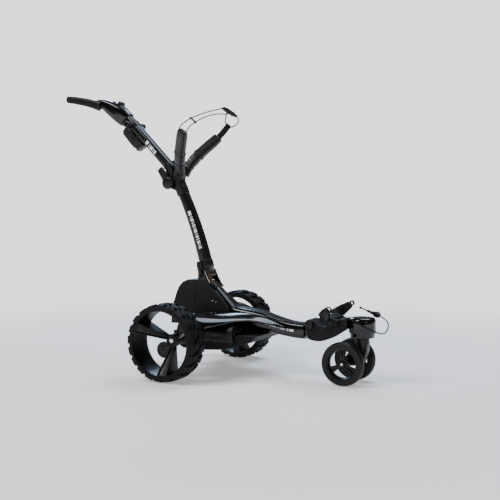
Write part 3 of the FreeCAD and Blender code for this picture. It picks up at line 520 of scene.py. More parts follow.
class TROLLEY_OT_cords(TrolleyOperator, bpy.types.Operator):
    """Elastic cords of the two bag cradles, with their clips and strap"""

    bl_idname = "trolley.cords"
    bl_label = "Cords and Clips"

    def build(self, m, sizes):
        route = [(-36, -114, 690), (-31, -122, 704), (-27, -95, 725), (-18, -65, 741), (3, -20, 762), (22, 30, 777),
                 (30, 58, 785), (36, 76, 788), (41, 88, 783), (41, 88, 771), (36, 76, 766), (30, 58, 766),
                 (21, 30, 763), (11, -20, 749), (-2, -65, 727), (-3, -95, 712), (-6, -112, 693), (-16, -108, 682)]
        upper = cord_curve("upper_elastic", CHASSIS, route, m["elastic"], "lower_mast", ["yoke_bungee"])
        turn = [(34, 92, 776), (24, 102, 764), (12, 116, 748), (8, 130, 738), (14, 143, 728), (30, 146, 730),
                (48, 142, 738), (60, 132, 750), (58, 122, 762), (50, 110, 768)]
        loop = cord_curve("upper_elastic_loop", CHASSIS, turn, m["elastic"], "lower_mast", ["yoke_loop"])
        x = WHEELBASE
        low = [(x - 7, -47, 95), (x + 23, -60, 87), (x + 66, -63, 68), (x + 106, -52, 51), (x + 121, -34, 42),
               (x + 130, -12, 49), (x + 129, 8, 69), (x + 113, 24, 82), (x + 90, 31, 92)]
        lower = cord_curve("lower_elastic", CHASSIS, low, m["elastic"], "chassis", ["lower_bungee"])

        bm = bmesh.new()
        bar(bm, [((28, 74, 789), 7, 5), ((34, 84, 783.5), 9, 7), ((46, 105, 771.5), 8.5, 6.5),
                 ((56, 122, 762), 6, 4.5)], UPRIGHT, 4.0, 24, (1.5, 1.5))
        for share in (0.3, 0.5, 0.7):
            spot = Vector((28, 74, 789)).lerp(Vector((56, 122, 762)), share)
            run = Vector((28, 48, -27)).normalized()
            bar(bm, [(spot - run * 1.6, 9.6, 7.6), (spot + run * 1.6, 9.6, 7.6)], UPRIGHT, 4.0, 24, (0.6, 0.6))
        buckle = piece("elastic_buckle", bm, CHASSIS, "lower_mast", m["nylon"], ["yoke_buckle"])
        bm = bmesh.new()
        bar(bm, [((-22, -65, 744.5), 3.6, 3.6), ((-10, -65, 734), 2.8, 2.8), ((2, -65, 723.5), 3.6, 3.6)],
            ACROSS, 2.6, 20, (1.2, 1.2))
        bridge = piece("elastic_bridge_clip", bm, CHASSIS, "lower_mast", m["nylon"], ["bungee_bridge"])

        bm = bmesh.new()
        start, middle = (x + 90, 31, 92), (x + 70, 42, 95)
        bar(bm, [(start, 6, 6), ((x + 86, 33.2, 92.6), 8, 8), ((x + 74, 39.8, 94.4), 8, 8), (middle, 6, 6)],
            UPRIGHT, 5.0, 24, (1, 1))
        for share in (0.25, 0.5, 0.75):
            spot = Vector(start).lerp(Vector(middle), share)
            run = (Vector(middle) - Vector(start)).normalized()
            bar(bm, [(spot - run, 8.8, 8.8), (spot + run, 8.8, 8.8)], UPRIGHT, 5.0, 24, (0.4, 0.4))
        clip = piece("elastic_clip", bm, CHASSIS, "chassis", m["nylon"])
        bm = bmesh.new()
        stick(bm, (x + 69.4, 42.4, 95.1), (x + 55, 52, 98), 6.2, tip=5.0)
        stick(bm, (x + 58, 50, 97.4), (x + 40, 62, 101), 4.2)
        stick(bm, (x + 42, 60.5, 100.4), (x + 10, 82.5, 106.6), 2.3)
        bmesh.ops.create_uvsphere(bm, u_segments=20, v_segments=12, radius=4.6,
                                  matrix=Matrix.Translation((x + 8, 84, 107)))
        piece("elastic_hook", bm, CHASSIS, "chassis", m["nylon"], ["bungee_hook"])
        self.strap(m, sizes)

    def strap(self, m, sizes):
        bm = bmesh.new()
        half = sizes.strap_width / MM / 2
        steps = [(116, 131, 461), (122, 139, 466), (130, 162, 479), (137, 181, 492), (140, 189, 497)]
        lean = math.radians(36)
        across = Vector((-math.sin(lean), 0, math.cos(lean)))
        rows = [((n, y, s), 1.7 if i else 1.9, half - 0.5 * (i % 2)) for i, (y, n, s) in enumerate(steps)]
        bar(bm, rows, across, 6.0, 24, (0.8, 0.8))
        piece("webbing_strap", bm, MAST, "lower_mast", m["webbing"], ["yoke_strap"])


# ---- wheels ----
def wrap(bm, radius, width, crown):
    """Bends a flat tread, X round the tyre and Z out of it, onto the tyre."""
    for v in bm.verts:
        turn = v.co.x / radius
        side = min(1.0, abs(v.co.y) / (width / 2))
        r = radius + v.co.z - crown * side ** 5
        v.co = Vector((r * math.sin(turn), v.co.y, r * math.cos(turn)))


def tread_block(bm, outline, height):
    """One moulded rubber block, with its top edges rounded."""
    face = bm.faces.new([bm.verts.new((x, y, -2.0)) for x, y in outline])
    made = thicken(bm, [face], (0, 0, height + 2.0))
    top = [f for f in made if isinstance(f, bmesh.types.BMFace)]
    rim = {e for f in top for e in f.edges}
    bevel(bm, rim, 1.1, 2)


class TROLLEY_OT_rear_tyres(TrolleyOperator, bpy.types.Operator):
    """Wide rear tyres with chunky shoulder blocks"""

    bl_idname = "trolley.rear_tyres"
    bl_label = "Rear Tyres"

    def build(self, m, sizes):
        lug = sizes.lug_height / MM
        base = REAR_R - lug
        middle = (REAR_IN + REAR_OUT) / 2
        half = (REAR_OUT - REAR_IN) / 2
        profile = [(RIM_R, -half), (RIM_R + 4, -half), (base - 5, -half + 1.0), (base - 1, -half + 6),
                   (base, -half + 14), (base, half - 14), (base - 1, half - 6), (base - 5, half - 1.0),
                   (RIM_R + 4, half), (RIM_R, half)]
        pitch = math.tau * base / sizes.lug_count
        blocks = ([(-14.5, 6.0), (-3.0, -1.5), (9.0, 3.5), (16.0, 14.0), (12.0, 24.0), (3.0, 24.5), (-7.0, 26.0),
                   (-3.5, 15.5)],
                  [(-6.0, 28.5), (3.5, 27.0), (12.5, 26.5), (19.0, 41.5), (-5.5, 42.6), (-8.5, 36.0)],
                  [(21.0, 27.0), (24.5, 33.0), (23.5, 42.0), (21.4, 41.5), (14.8, 26.8)])
        for side, sign in SIDES:
            bm = bmesh.new()
            for block in blocks[:2]:
                for turn in (1, -1):
                    outline = [(x * turn, y * turn) for x, y in block]
                    for i in range(sizes.lug_count):
                        shift = (i + (0.5 if turn < 0 else 0.0)) * pitch
                        tread_block(bm, [(x + shift, y) for x, y in outline], lug)
            wrap(bm, base, 2 * half, 6.0)
            lathe(bm, profile, steps=120)
            for turn in (1, -1):
                lathe(bm, [(RIM_R + 5, turn * half - turn * 0.3), (RIM_R + 6.0, turn * half),
                           (RIM_R + 7.0, turn * half - turn * 0.3), (RIM_R + 6, turn * (half - 2))], steps=120)
            bmesh.ops.translate(bm, verts=bm.verts, vec=(0, middle, 0))
            piece("tyre_tread_" + side, bm, CHASSIS, "wheel_" + side, m["rubber"], ["tyre_" + side],
                  flip=sign < 0)


def spoke(bm, stations, turn):
    """A deep tapering spoke along X with a sunk slot in its outer face; stations are (x, half width, y in, y out)."""
    before = set(bm.verts)
    rings = []
    for x, half, y0, y1 in stations:
        verts = [bm.verts.new(p) for p in ((x, y0, -half * 0.8), (x, y1, -half), (x, y1, half), (x, y0, half * 0.8))]
        rings.append([bm.edges.new(pair) for pair in zip(verts, verts[1:] + verts[:1])])
    skin_rings(bm, rings)
    verts = [v for v in bm.verts if v not in before]
    faces = {f for v in verts for f in v.link_faces}
    front = [f for f in faces if all(any(abs(v.co.y - s[3]) < 0.01 for s in stations) for v in f.verts)
             and abs(f.normal.y) > 0.3]
    if front:
        bmesh.ops.recalc_face_normals(bm, faces=list(faces))
        bmesh.ops.inset_region(bm, faces=front, thickness=4.0, depth=0.0, use_even_offset=True)
        bmesh.ops.inset_region(bm, faces=front, thickness=1.4, depth=-6.0, use_even_offset=True)
    faces = {f for f in bm.faces if all(v not in before for v in f.verts)}
    bevel(bm, corners(faces, 22.0), 1.3, 3)
    verts = [v for v in bm.verts if v not in before]
    bmesh.ops.rotate(bm, verts=verts, cent=(0, 0, 0), matrix=Matrix.Rotation(math.radians(turn), 3, "Y"))


class TROLLEY_OT_rear_rims(TrolleyOperator, bpy.types.Operator):
    """Wide barrel rims with three deep spokes and quick-release hubs"""

    bl_idname = "trolley.rear_rims"
    bl_label = "Rear Rims"

    def build(self, m, sizes):
        for side, sign in SIDES:
            bm = bmesh.new()
            lathe(bm, [(RIM_R, REAR_IN), (RIM_R, REAR_OUT - 1), (RIM_R - 1.2, REAR_OUT - 0.2),
                       (RIM_R - 2.6, REAR_OUT - 0.6), (RIM_R - 3.6, REAR_OUT - 2.5), (RIM_R - 3.8, REAR_OUT - 8),
                       (RIM_R - 4.0, REAR_IN + 30), (RIM_R - 4.0, REAR_IN + 4), (RIM_R - 3.0, REAR_IN)], steps=120)
            for turn in (-34, -154, -274):
                spoke(bm, [(18, 8.5, REAR_IN - 10, 213.0), (34, 10.4, REAR_IN - 7, 229.0),
                           (62, 13.4, REAR_IN - 3, 255.0), (86, 16.8, REAR_IN + 1, 279.0),
                           (RIM_R - 3.7, 19.0, REAR_IN + 3, 290.5)], turn)
            lathe(bm, [(6.1, REAR_IN - 12), (20, REAR_IN - 12), (22, REAR_IN - 10), (22, 213), (20.8, 216.5),
                       (17.0, 217.4), (16.0, 215.2), (12.7, 215.2), (11.8, 217.6), (9.4, 217.6), (9.0, 211.5),
                       (6.1, 211.5)], steps=72)
            for i in range(6):
                turn = math.radians(60 * i + 15)
                spot = Vector((math.cos(turn) * 18.8, 216.2, math.sin(turn) * 18.8))
                stick(bm, spot, spot + Vector((0, 1.1, 0)), 1.7, 12, 0.3)
            piece("spoked_rim_" + side, bm, CHASSIS, "wheel_" + side, m["nylon"], ["rim_" + side],
                  flip=sign < 0)
            bm = bmesh.new()
            lathe(bm, [(0, 216.6), (3, 216.6), (3, 202.2), (2.9, 201.2), (0, 201.2)], steps=32)
            lathe(bm, [(0, 216.6), (6.6, 216.6), (7.5, 217.4), (7.5, 219.4), (6.7, 220.4), (4.6, 220.6),
                       (4.0, 220.0), (0, 219.8)], steps=48)
            piece("release_cap_" + side, bm, CHASSIS, "button_" + side, m["bright"], ["release_button_" + side],
                  flip=sign < 0)
        dress(m["steel"], "drive_axle_right", "drive_axle_left", "rotor_right", "rotor_left", "axle_bearings")


class TROLLEY_OT_front_wheels(TrolleyOperator, bpy.types.Operator):
    """Twin front wheels with ribbed tyres and paired-rib spokes"""

    bl_idname = "trolley.front_wheels"
    bl_label = "Front Wheels"

    def build(self, m, sizes):
        spot = (WHEELBASE, 0, FRONT_Z)
        y, h, r = FRONT_Y, 14.0, FRONT_R
        for side, sign in SIDES:
            bm = bmesh.new()
            lathe(bm, [(r - 20, y - h + 2), (r - 14, y - h + 0.4), (r - 11, y - h + 1.4), (r - 9.5, y - h + 0.6),
                       (r - 5, y - h + 0.4), (r - 2.2, y - h + 4), (r - 0.6, y - 5.2), (r - 1.6, y - 4.4),
                       (r - 1.6, y - 3.6), (r - 0.1, y - 2.8), (r - 0.1, y + 2.8), (r - 1.6, y + 3.6),
                       (r - 1.6, y + 4.4), (r - 0.6, y + 5.2), (r - 2.2, y + h - 4), (r - 5, y + h - 0.4),
                       (r - 9.5, y + h - 0.6), (r - 11, y + h - 1.4), (r - 14, y + h - 0.4), (r - 20, y + h - 2)],
                  spot, steps=96)
            piece("front_tyre_ribbed_" + side, bm, CHASSIS, "front_wheel_" + side, m["pad"], ["front_tyre_" + side],
                  flip=sign < 0)
            bm = bmesh.new()
            lathe(bm, [(50, y - 11), (50, y + 11), (48.6, y + 12), (46.8, y + 11.4), (45.8, y + 9), (44.2, y + 6),
                       (44.0, y - 8), (46, y - 11)], spot, steps=96)
            lathe(bm, [(4.1, y - 13), (15, y - 13), (16.4, y - 12), (18.6, y + 1.4), (18.6, y + 3.4), (17.4, y + 4.4),
                       (14.6, y + 4.4), (13.8, y + 3.2), (12.2, y + 3.2), (11.4, y + 6.4), (9.8, y + 8.8),
                       (7.2, y + 9.4), (6.2, y + 8), (4.1, y + 8)], spot, steps=48)
            for i in range(3):
                for lean in (-10.5, 10.5):
                    before = set(bm.verts)
                    bar(bm, [((9, y - 1.0, 0), 3.4, 5.0), ((24, y - 1.0, 0), 3.2, 5.4), ((45, y - 0.5, 0), 3.6, 6.6)],
                        ACROSS, 4.0, 16, (0.6, 0.6))
                    new = [v for v in bm.verts if v not in before]
                    turn = Matrix.Rotation(math.radians(i * 120.0 - 90.0 + lean), 3, "Y")
                    bmesh.ops.rotate(bm, verts=new, cent=(0, 0, 0), matrix=turn)
                    bmesh.ops.translate(bm, verts=new, vec=spot)
                before = set(bm.verts)
                slab(bm, [(12, -5), (30, -3.6), (44.5, -8), (44.5, 8), (30, 3.6), (12, 5)], y - 3, y - 0.5)
                new = [v for v in bm.verts if v not in before]
                bmesh.ops.rotate(bm, verts=new, cent=(0, 0, 0),
                                 matrix=Matrix.Rotation(math.radians(i * 120.0 - 90.0), 3, "Y"))
                bmesh.ops.translate(bm, verts=new, vec=spot)
            piece("front_spokes_" + side, bm, CHASSIS, "front_wheel_" + side, m["nylon"], ["front_rim_" + side],
                  flip=sign < 0)
        dress(m["bright"], "front_axle")


class TROLLEY_OT_caster(TrolleyOperator, bpy.types.Operator):
    """Caster fork between the front wheels, and its glossy head"""

    bl_idname = "trolley.caster"
    bl_label = "Caster"

    def build(self, m, sizes):
        x = SWIVEL_X
        bm = bmesh.new()
        stick(bm, (x, 0, 2), (x, 0, 79.9), 12.0, 32, 1.0)
        lathe(bm, [(0, 22), (21, 22), (22.8, 20), (22.8, 4), (20, -7.8), (0, -7.8)], (x, 0, 0), UPRIGHT, 64)
        _, faces = slab(bm, [(x + 21.5, 9), (x + 19.6, -20), (x + 5.6, -62), (WHEELBASE + 11.5, FRONT_Z - 11.6),
                             (WHEELBASE - 11.6, FRONT_Z - 11.6), (WHEELBASE - 13.6, FRONT_Z + 8), (x - 22.6, 0),
                             (x - 22.6, 9)], -16.6, 16.6)
        bevel(bm, corners(faces), 3.5, 3)
        stick(bm, (WHEELBASE, -36.8, FRONT_Z), (WHEELBASE, 36.8, FRONT_Z), 14.6, 40, 1.6)
        for sign in (-1, 1):
            _, faces = slab(bm, [(x + 12, -4), (x + 10, -22), (x - 6, -46), (x - 14, -34), (x - 12, -6)],
                            sign * 16.0, sign * 17.6)
            bevel(bm, corners(faces), 0.7, 2)
        piece("caster_fork_moulding", bm, CHASSIS, "caster", m["nylon"], ["caster_fork"])
        bm = bmesh.new()
        lathe(bm, [(12.1, 23.2), (36, 23.2), (38.6, 24.6), (39.4, 33), (41.6, 38), (42.8, 42), (42.8, 75), (41.6, 80),
                   (38.4, 84.6), (33, 87.0), (20, 87.9), (12.1, 87.9)], (x, 0, 0), UPRIGHT, 96)
        stick(bm, (x, 0, 80.2), (x, 0, 87.8), 12.3, 40, 0.6)
        piece("caster_housing", bm, CHASSIS, "chassis", m["gloss"], ["caster_head"])
        bm = bmesh.new()
        bar(bm, [((x - 9, 0, 87.4), 3.2, 0.5), ((x + 22, 0, 87.4), 3.2, 0.5)], UPRIGHT, 3.0, 20, (2.0, 2.0))
        piece("caster_housing_slot", bm, CHASSIS, "chassis", m["nylon"])


# ---- chassis ----
def shaped_tower(bm, outline, cuts, half_at, edge, keep_sharp=None):
    """A shell drawn in side view, its half width set by height, its outer edges rounded."""
    slab(bm, outline, -1.0, 1.0)
    for z in cuts:
        bmesh.ops.bisect_plane(bm, geom=bm.verts[:] + bm.edges[:] + bm.faces[:], plane_co=(0, 0, z),
                               plane_no=UPRIGHT)
    for v in bm.verts:
        v.co.y = math.copysign(half_at(v.co.z, v.co.x), v.co.y)
    chosen = [e for e in corners(bm, 18.0) if not (keep_sharp and keep_sharp(e))]
    bevel(bm, chosen, edge, 5)


def between(rows, value):
    """Straight-line reading of (key, value) rows, held flat past the ends."""
    if value <= rows[0][0]:
        return rows[0][1]
    for (a, p), (b, q) in zip(rows, rows[1:]):
        if value <= b:
            return p + (q - p) * (value - a) / (b - a)
    return rows[-1][1]


BODY_TAPER = ((20.0, 0.0), (80.0, 2.0), (117.0, 6.0))
BODY_HALF = ((31.0, 50.0), (78.0, 48.0), (105.0, 45.2), (130.0, 40.5), (160.0, 34.6), (186.0, 28.8))


class TROLLEY_OT_battery(TrolleyOperator, bpy.types.Operator):
    """Battery pack with its rear grip and latch button"""

    bl_idname = "trolley.battery"
    bl_label = "Battery"

    def build(self, m, sizes):
        bm = bmesh.new()
        outline = [(-113.6, 31.8), (-110.6, 70), (-105.6, 105), (-98, 140), (-89.6, 161), (-76, 177), (-56, 185.6),
                   (SEAM_X - 0.8, 185.8), (SEAM_X - 0.8, 31.8)]
        shaped_tower(bm, outline, (70, 105, 130, 160), lambda z, x: between(BODY_HALF, z) - 0.3,
                     sizes.cover_edge / MM, lambda e: all(v.co.x > SEAM_X - 2 for v in e.verts))
        piece("battery_pack", bm, CHASSIS, "battery", m["matte"], ["battery_case"])
        bm = bmesh.new()
        _, faces = slab(bm, [(-108.6, 97.4), (-107.4, 110.6), (-101, 110.6), (-101, 97.4)], -17.6, 17.6)
        bevel(bm, corners(faces), 1.6, 3)
        for k in range(5):
            bar(bm, [((-108.9, -12, 99.6 + 2.2 * k), 0.45, 0.45), ((-108.9, 12, 99.6 + 2.2 * k), 0.45, 0.45)],
                UPRIGHT, 2.0, 10, (0.3, 0.3))
        piece("battery_latch_key", bm, CHASSIS, "battery_latch", m["nylon"], ["battery_latch"])
        bm = bmesh.new()
        bar(bm, [((-106.5, -27, 92.5), 2.2, 3.0), ((-109.2, -14, 92.0), 2.4, 3.4), ((-109.2, 14, 92.0), 2.4, 3.4),
                 ((-106.5, 27, 92.5), 2.2, 3.0)], UPRIGHT, 3.0, 20, (1.6, 1.6))
        piece("battery_grip", bm, CHASSIS, "battery", m["nylon"])
        dress(m["sleeve"], "battery_cells")


class TROLLEY_OT_body(TrolleyOperator, bpy.types.Operator):
    """Matte centre body, underpan and anti-tip arm"""

    bl_idname = "trolley.body"
    bl_label = "Centre Body"

    def build(self, m, sizes):
        bm = bmesh.new()
        outline = [(SEAM_X + 0.8, 31.8), (SEAM_X + 0.8, 186.5), (2, 186.6), (22, 181), (40, 168), (82, 128),
                   (114, 92),
                   (117.5, 78), (117.5, 31.8)]
        shaped_tower(bm, outline, (78, 105, 130, 160), lambda z, x: between(BODY_HALF, z) - between(BODY_TAPER, x),
                     sizes.cover_edge / MM, lambda e: all(v.co.x < SEAM_X + 2 for v in e.verts))
        piece("body_moulding", bm, CHASSIS, "chassis", m["matte"], ["body_shell"])
        for side, sign in SIDES:
            bm = bmesh.new()
            for x, z in ((52, 117), (66, 113.5)):
                spot = Vector((x, sign * (between(BODY_HALF, z) - between(BODY_TAPER, x)
                                          - 1.2), z))
                stick(bm, spot, spot + Vector((0, sign * 2.0, 0.3)), 3.0, 20, 0.5)
                stick(bm, spot, spot + Vector((0, sign * 2.5, 0.4)), 1.6, 6, 0.2)
            piece("body_screws_" + side, bm, CHASSIS, "chassis", m["steel"])
        bm = bmesh.new()
        outline = [(-59.6, 17.8), (-59.6, -16), (-22, -39.6), (64, -40.6), (130, -35.6), (190, -19.6), (234, -5.6),
                   (258, 17.0), (252, 17.8)]
        _, faces = slab(bm, outline, -116.5, 116.5)
        bevel(bm, [e for e in corners(bm, 20.0) if max(v.co.z for v in e.verts) < 16.9 or abs(
            e.verts[0].co.y - e.verts[1].co.y) < 1], 9.0, 5)
        top = [f for f in bm.faces if f.normal.z > 0.9 and f.calc_center_median().z > 16]
        bmesh.ops.inset_region(bm, faces=top, thickness=3.0, depth=0.0)
        bmesh.ops.inset_region(bm, faces=top, thickness=0.5, depth=-24.0)
        piece("underpan_tub", bm, CHASSIS, "chassis", m["matte"], ["underpan"])
        dress(m["alloy"], "chassis_beam")
        dress(m["board"], "control_board")
        dress(m["cast"], "pivot_pins")
        bm = bmesh.new()
        _, faces = slab(bm, [(-59, -16.6), (-59, -1), (-100, -17), (-135.4, -45), (-135.4, -63), (-96.4, -41.4)],
                        -13.6, 13.6)
        bevel(bm, corners(faces), 2.6, 3)
        for sign in (-1, 1):
            _, faces = slab(bm, [(-130, -40.6), (-120.6, -55.6), (-169, -85.6), (-178, -86), (-181.6, -76),
                                 (-175, -64.6)], sign * 13 - 1.9, sign * 13 + 1.9)
            bevel(bm, corners(faces), 0.9, 2)
            stick(bm, (-174, sign * 14, -76), (-174, sign * 16.9, -76), 6.2, 24, 0.9)
        piece("anti_tip_bracket", bm, CHASSIS, "chassis", m["cast"], ["anti_tip_arm"])
        bm = bmesh.new()
        lathe(bm, [(4.1, -8.9), (11, -8.9), (13.5, -7.2), (20, -7.2), (22, -9.6), (27.5, -9.8), (29.8, -7), (29.8, 7),
                   (27.5, 9.8), (22, 9.6), (20, 7.2), (13.5, 7.2), (11, 8.9), (4.1, 8.9)], TIP_AXLE, steps=72)
        piece("anti_tip_tyre", bm, CHASSIS, "anti_tip_wheel", m["pad"], ["anti_tip_wheel"])


SPINE = ((24, 126, 181, 17.5, 27, 4.5), (40, 114, 175.6, 18.5, 31, 4.5), (62, 92, 156.4, 21, 36, 4.5),
         (84, 71, 137, 25, 39, 5), (106, 52, 117.4, 29.5, 41, 5), (121, 43, 104.2, 33, 41.5, 5),
         (129, 39.5, 99.4, 34, 41.5, 5), (138, 37, 97, 34.5, 41.5, 5), (165, 33, 93.6, 35, 40.5, 5),
         (200, 29.5, 89.3, 34, 38.5, 5), (240, 24.5, 82, 32, 37, 5), (285, 16.5, 69.6, 30.5, 35, 4.5),
         (328, 9.2, 59.6, 29.5, 33.6, 4.5), (360, 6.8, 57, 29, 32.5, 4.5), (387.6, 5.2, 56.2, 28.6, 31.6, 4.5))


def spine_reading(x):
    """Low, high, half width at the top and at the foot of the spine at X."""
    return [between([(row[0], row[k]) for row in SPINE], x) for k in (1, 2, 3, 4)]


class TROLLEY_OT_covers(TrolleyOperator, bpy.types.Operator):
    """Glossy spine cover and wings, with the deck, service lid and printed bars"""

    bl_idname = "trolley.covers"
    bl_label = "Glossy Covers"

    def build(self, m, sizes):
        bm = bmesh.new()
        rings = []
        for x, low, high, top, foot, power in SPINE:
            middle, flare = (top + foot) / 2, (foot - top) / (top + foot)
            place = Matrix(((0, 0, 1, x), (1, 0, 0, 0), (0, 1, 0, (low + high) / 2), (0, 0, 0, 1)))
            rings.append(ring(bm, place, middle, (high - low) / 2, power, 48, flare))
        skin_rings(bm, rings)
        bevel(bm, {e for k in (0, -1) for e in rings[k] if e.is_valid}, 1.5, 2)
        piece("spine_cover", bm, CHASSIS, "chassis", m["gloss"], ["spine_shell"], levels=1)
        self.deck(m)
        for side, sign in SIDES:
            self.wing(m, side, sign)
        self.bars(m)

    def deck(self, m):
        bm = bmesh.new()
        for x0, x1, lift, less in ((58, 384, 0.5, 7.5), (76, 122, 1.7, 13.0)):
            made = unit_grid(bm, 26, 8)
            for v in made:
                share, across = v.co.x + 0.5, v.co.y * 2
                x = x0 + (x1 - x0) * share
                _, high, half, _ = spine_reading(x)
                width = half - less
                v.co = Vector((x, across * width, high + lift - 0.5 * abs(across) ** 6))
            thicken(bm, faces_at(made), (0, 0, -2.2))
        bevel(bm, corners(bm, 40.0), 0.5, 2)
        piece("spine_deck", bm, CHASSIS, "chassis", m["coat"])

    def wing(self, m, side, sign):
        rows = ((36.0, [(-14, 68), (30, 72), (80, 77), (130, 79), (180, 84), (230, 78), (285, 60), (330, 42)]),
                (46.0, [(-16, 70), (26, 75), (74, 80), (122, 82), (168, 85), (214, 80), (256, 66), (290, 50)]),
                (70.0, [(-18, 76), (20, 82), (60, 86), (100, 86), (138, 84), (176, 79), (206, 73), (226, 67)]),
                (100.0, [(-20, 82), (14, 88), (48, 90.5), (84, 89), (118, 84.5), (150, 78), (176, 72), (190, 66)]),
                (135.0, [(-22, 86), (10, 91.5), (40, 93), (72, 90), (102, 84), (130, 76.5), (152, 69.5), (162, 62)]),
                (170.0, [(-24, 87), (4, 92), (30, 92.5), (60, 88.5), (88, 80.5), (112, 71.5), (130, 63), (138, 55)]),
                (198.0, [(-25, 87), (0, 91.5), (24, 91), (48, 86), (72, 77), (92, 67), (106, 57), (112, 49)]))
        bm = bmesh.new()
        made = unit_grid(bm, 7, 6)
        for v in made:
            i, j = round((v.co.x + 0.5) * 7), round((v.co.y + 0.5) * 6)
            y, line = rows[j]
            x, z = line[i]
            v.co = Vector((x, y, z - 1.0))
        thicken(bm, bm.faces[:], (-2.0, 0, -5.0))
        layer = bm.edges.layers.float.new("crease_edge")
        rim = [e for e in bm.edges if e.calc_face_angle(0.0) > math.radians(50)]
        for e in rim:
            e[layer] = 0.45
        piece("wing_cover_" + side, bm, CHASSIS, "chassis", m["gloss"], ["wing_" + side], levels=3,
              flip=sign < 0)

    def bars(self, m):
        """Plain printed bars on both flanks, in place of any lettering."""
        for side, sign in SIDES:
            bm = bmesh.new()
            for x0, x1, share in ((232, 240, 0.5), (246, 250, 0.5), (254, 258, 0.5), (264, 290, 0.5), (296, 300, 0.5),
                                  (304, 322, 0.5), (328, 332, 0.5), (336, 352, 0.5)):
                made = unit_grid(bm, 4, 2)
                for v in made:
                    x = x0 + (x1 - x0) * (v.co.x + 0.5)
                    low, high, top, foot = spine_reading(x)
                    rise = share + (v.co.y * 7.0) / (high - low)
                    z = low + (high - low) * rise
                    v.co = Vector((x, foot + (top - foot) * rise + 0.35, z))
                thicken(bm, faces_at(made), (0, -1.4, 0))
            piece("spine_bars_" + side, bm, CHASSIS, "chassis", m["mark"], flip=sign < 0)


class TROLLEY_OT_drives(TrolleyOperator, bpy.types.Operator):
    """Motors and gear cases"""

    bl_idname = "trolley.drives"
    bl_label = "Drives"

    def build(self, m, sizes):
        for side, sign in SIDES:
            bm = bmesh.new()
            lathe(bm, [(4.1, 30.5), (33, 30.5), (35.8, 33), (35.8, 92), (34.6, 93), (34.6, 96), (35.8, 97),
                       (35.8, 172), (34.6, 176.6), (31.5, 178.8), (28.6, 178.8), (27.4, 176.2), (17, 175.4),
                       (15.8, 178.0), (9, 178.6), (4.1, 177)], MOTOR, (1, 0, 0), 96)
            for i in range(4):
                turn = math.radians(90 * i + 45)
                spot = Vector((175.2, MOTOR[1] + 22 * math.cos(turn), MOTOR[2] + 22 * math.sin(turn)))
                stick(bm, spot, spot + Vector((2.4, 0, 0)), 2.6, 6, 0.3)
            piece("motor_housing_" + side, bm, CHASSIS, "chassis", m["nylon"], ["motor_" + side],
                  flip=sign < 0)
            bm = bmesh.new()
            _, faces = slab(bm, [(-25.6, -21.6), (-25.6, 24), (-20, 29.6), (29.4, 29.6), (29.4, -21.6)], 76.4, 123.6)
            bevel(bm, corners(faces), 3.0, 3)
            lathe(bm, [(12.2, 123), (20, 123), (20, 128), (17, 131), (17, 188), (16, 189.6), (12.2, 189.6)], steps=64)
            for x, z in ((-19, -15), (-19, 22), (23, 22), (23, -15)):
                stick(bm, (x, 123.2, z), (x, 125.8, z), 3.2, 6, 0.4)
            piece("gear_casting_" + side, bm, CHASSIS, "chassis", m["cast"], ["gear_case_" + side],
                  flip=sign < 0)


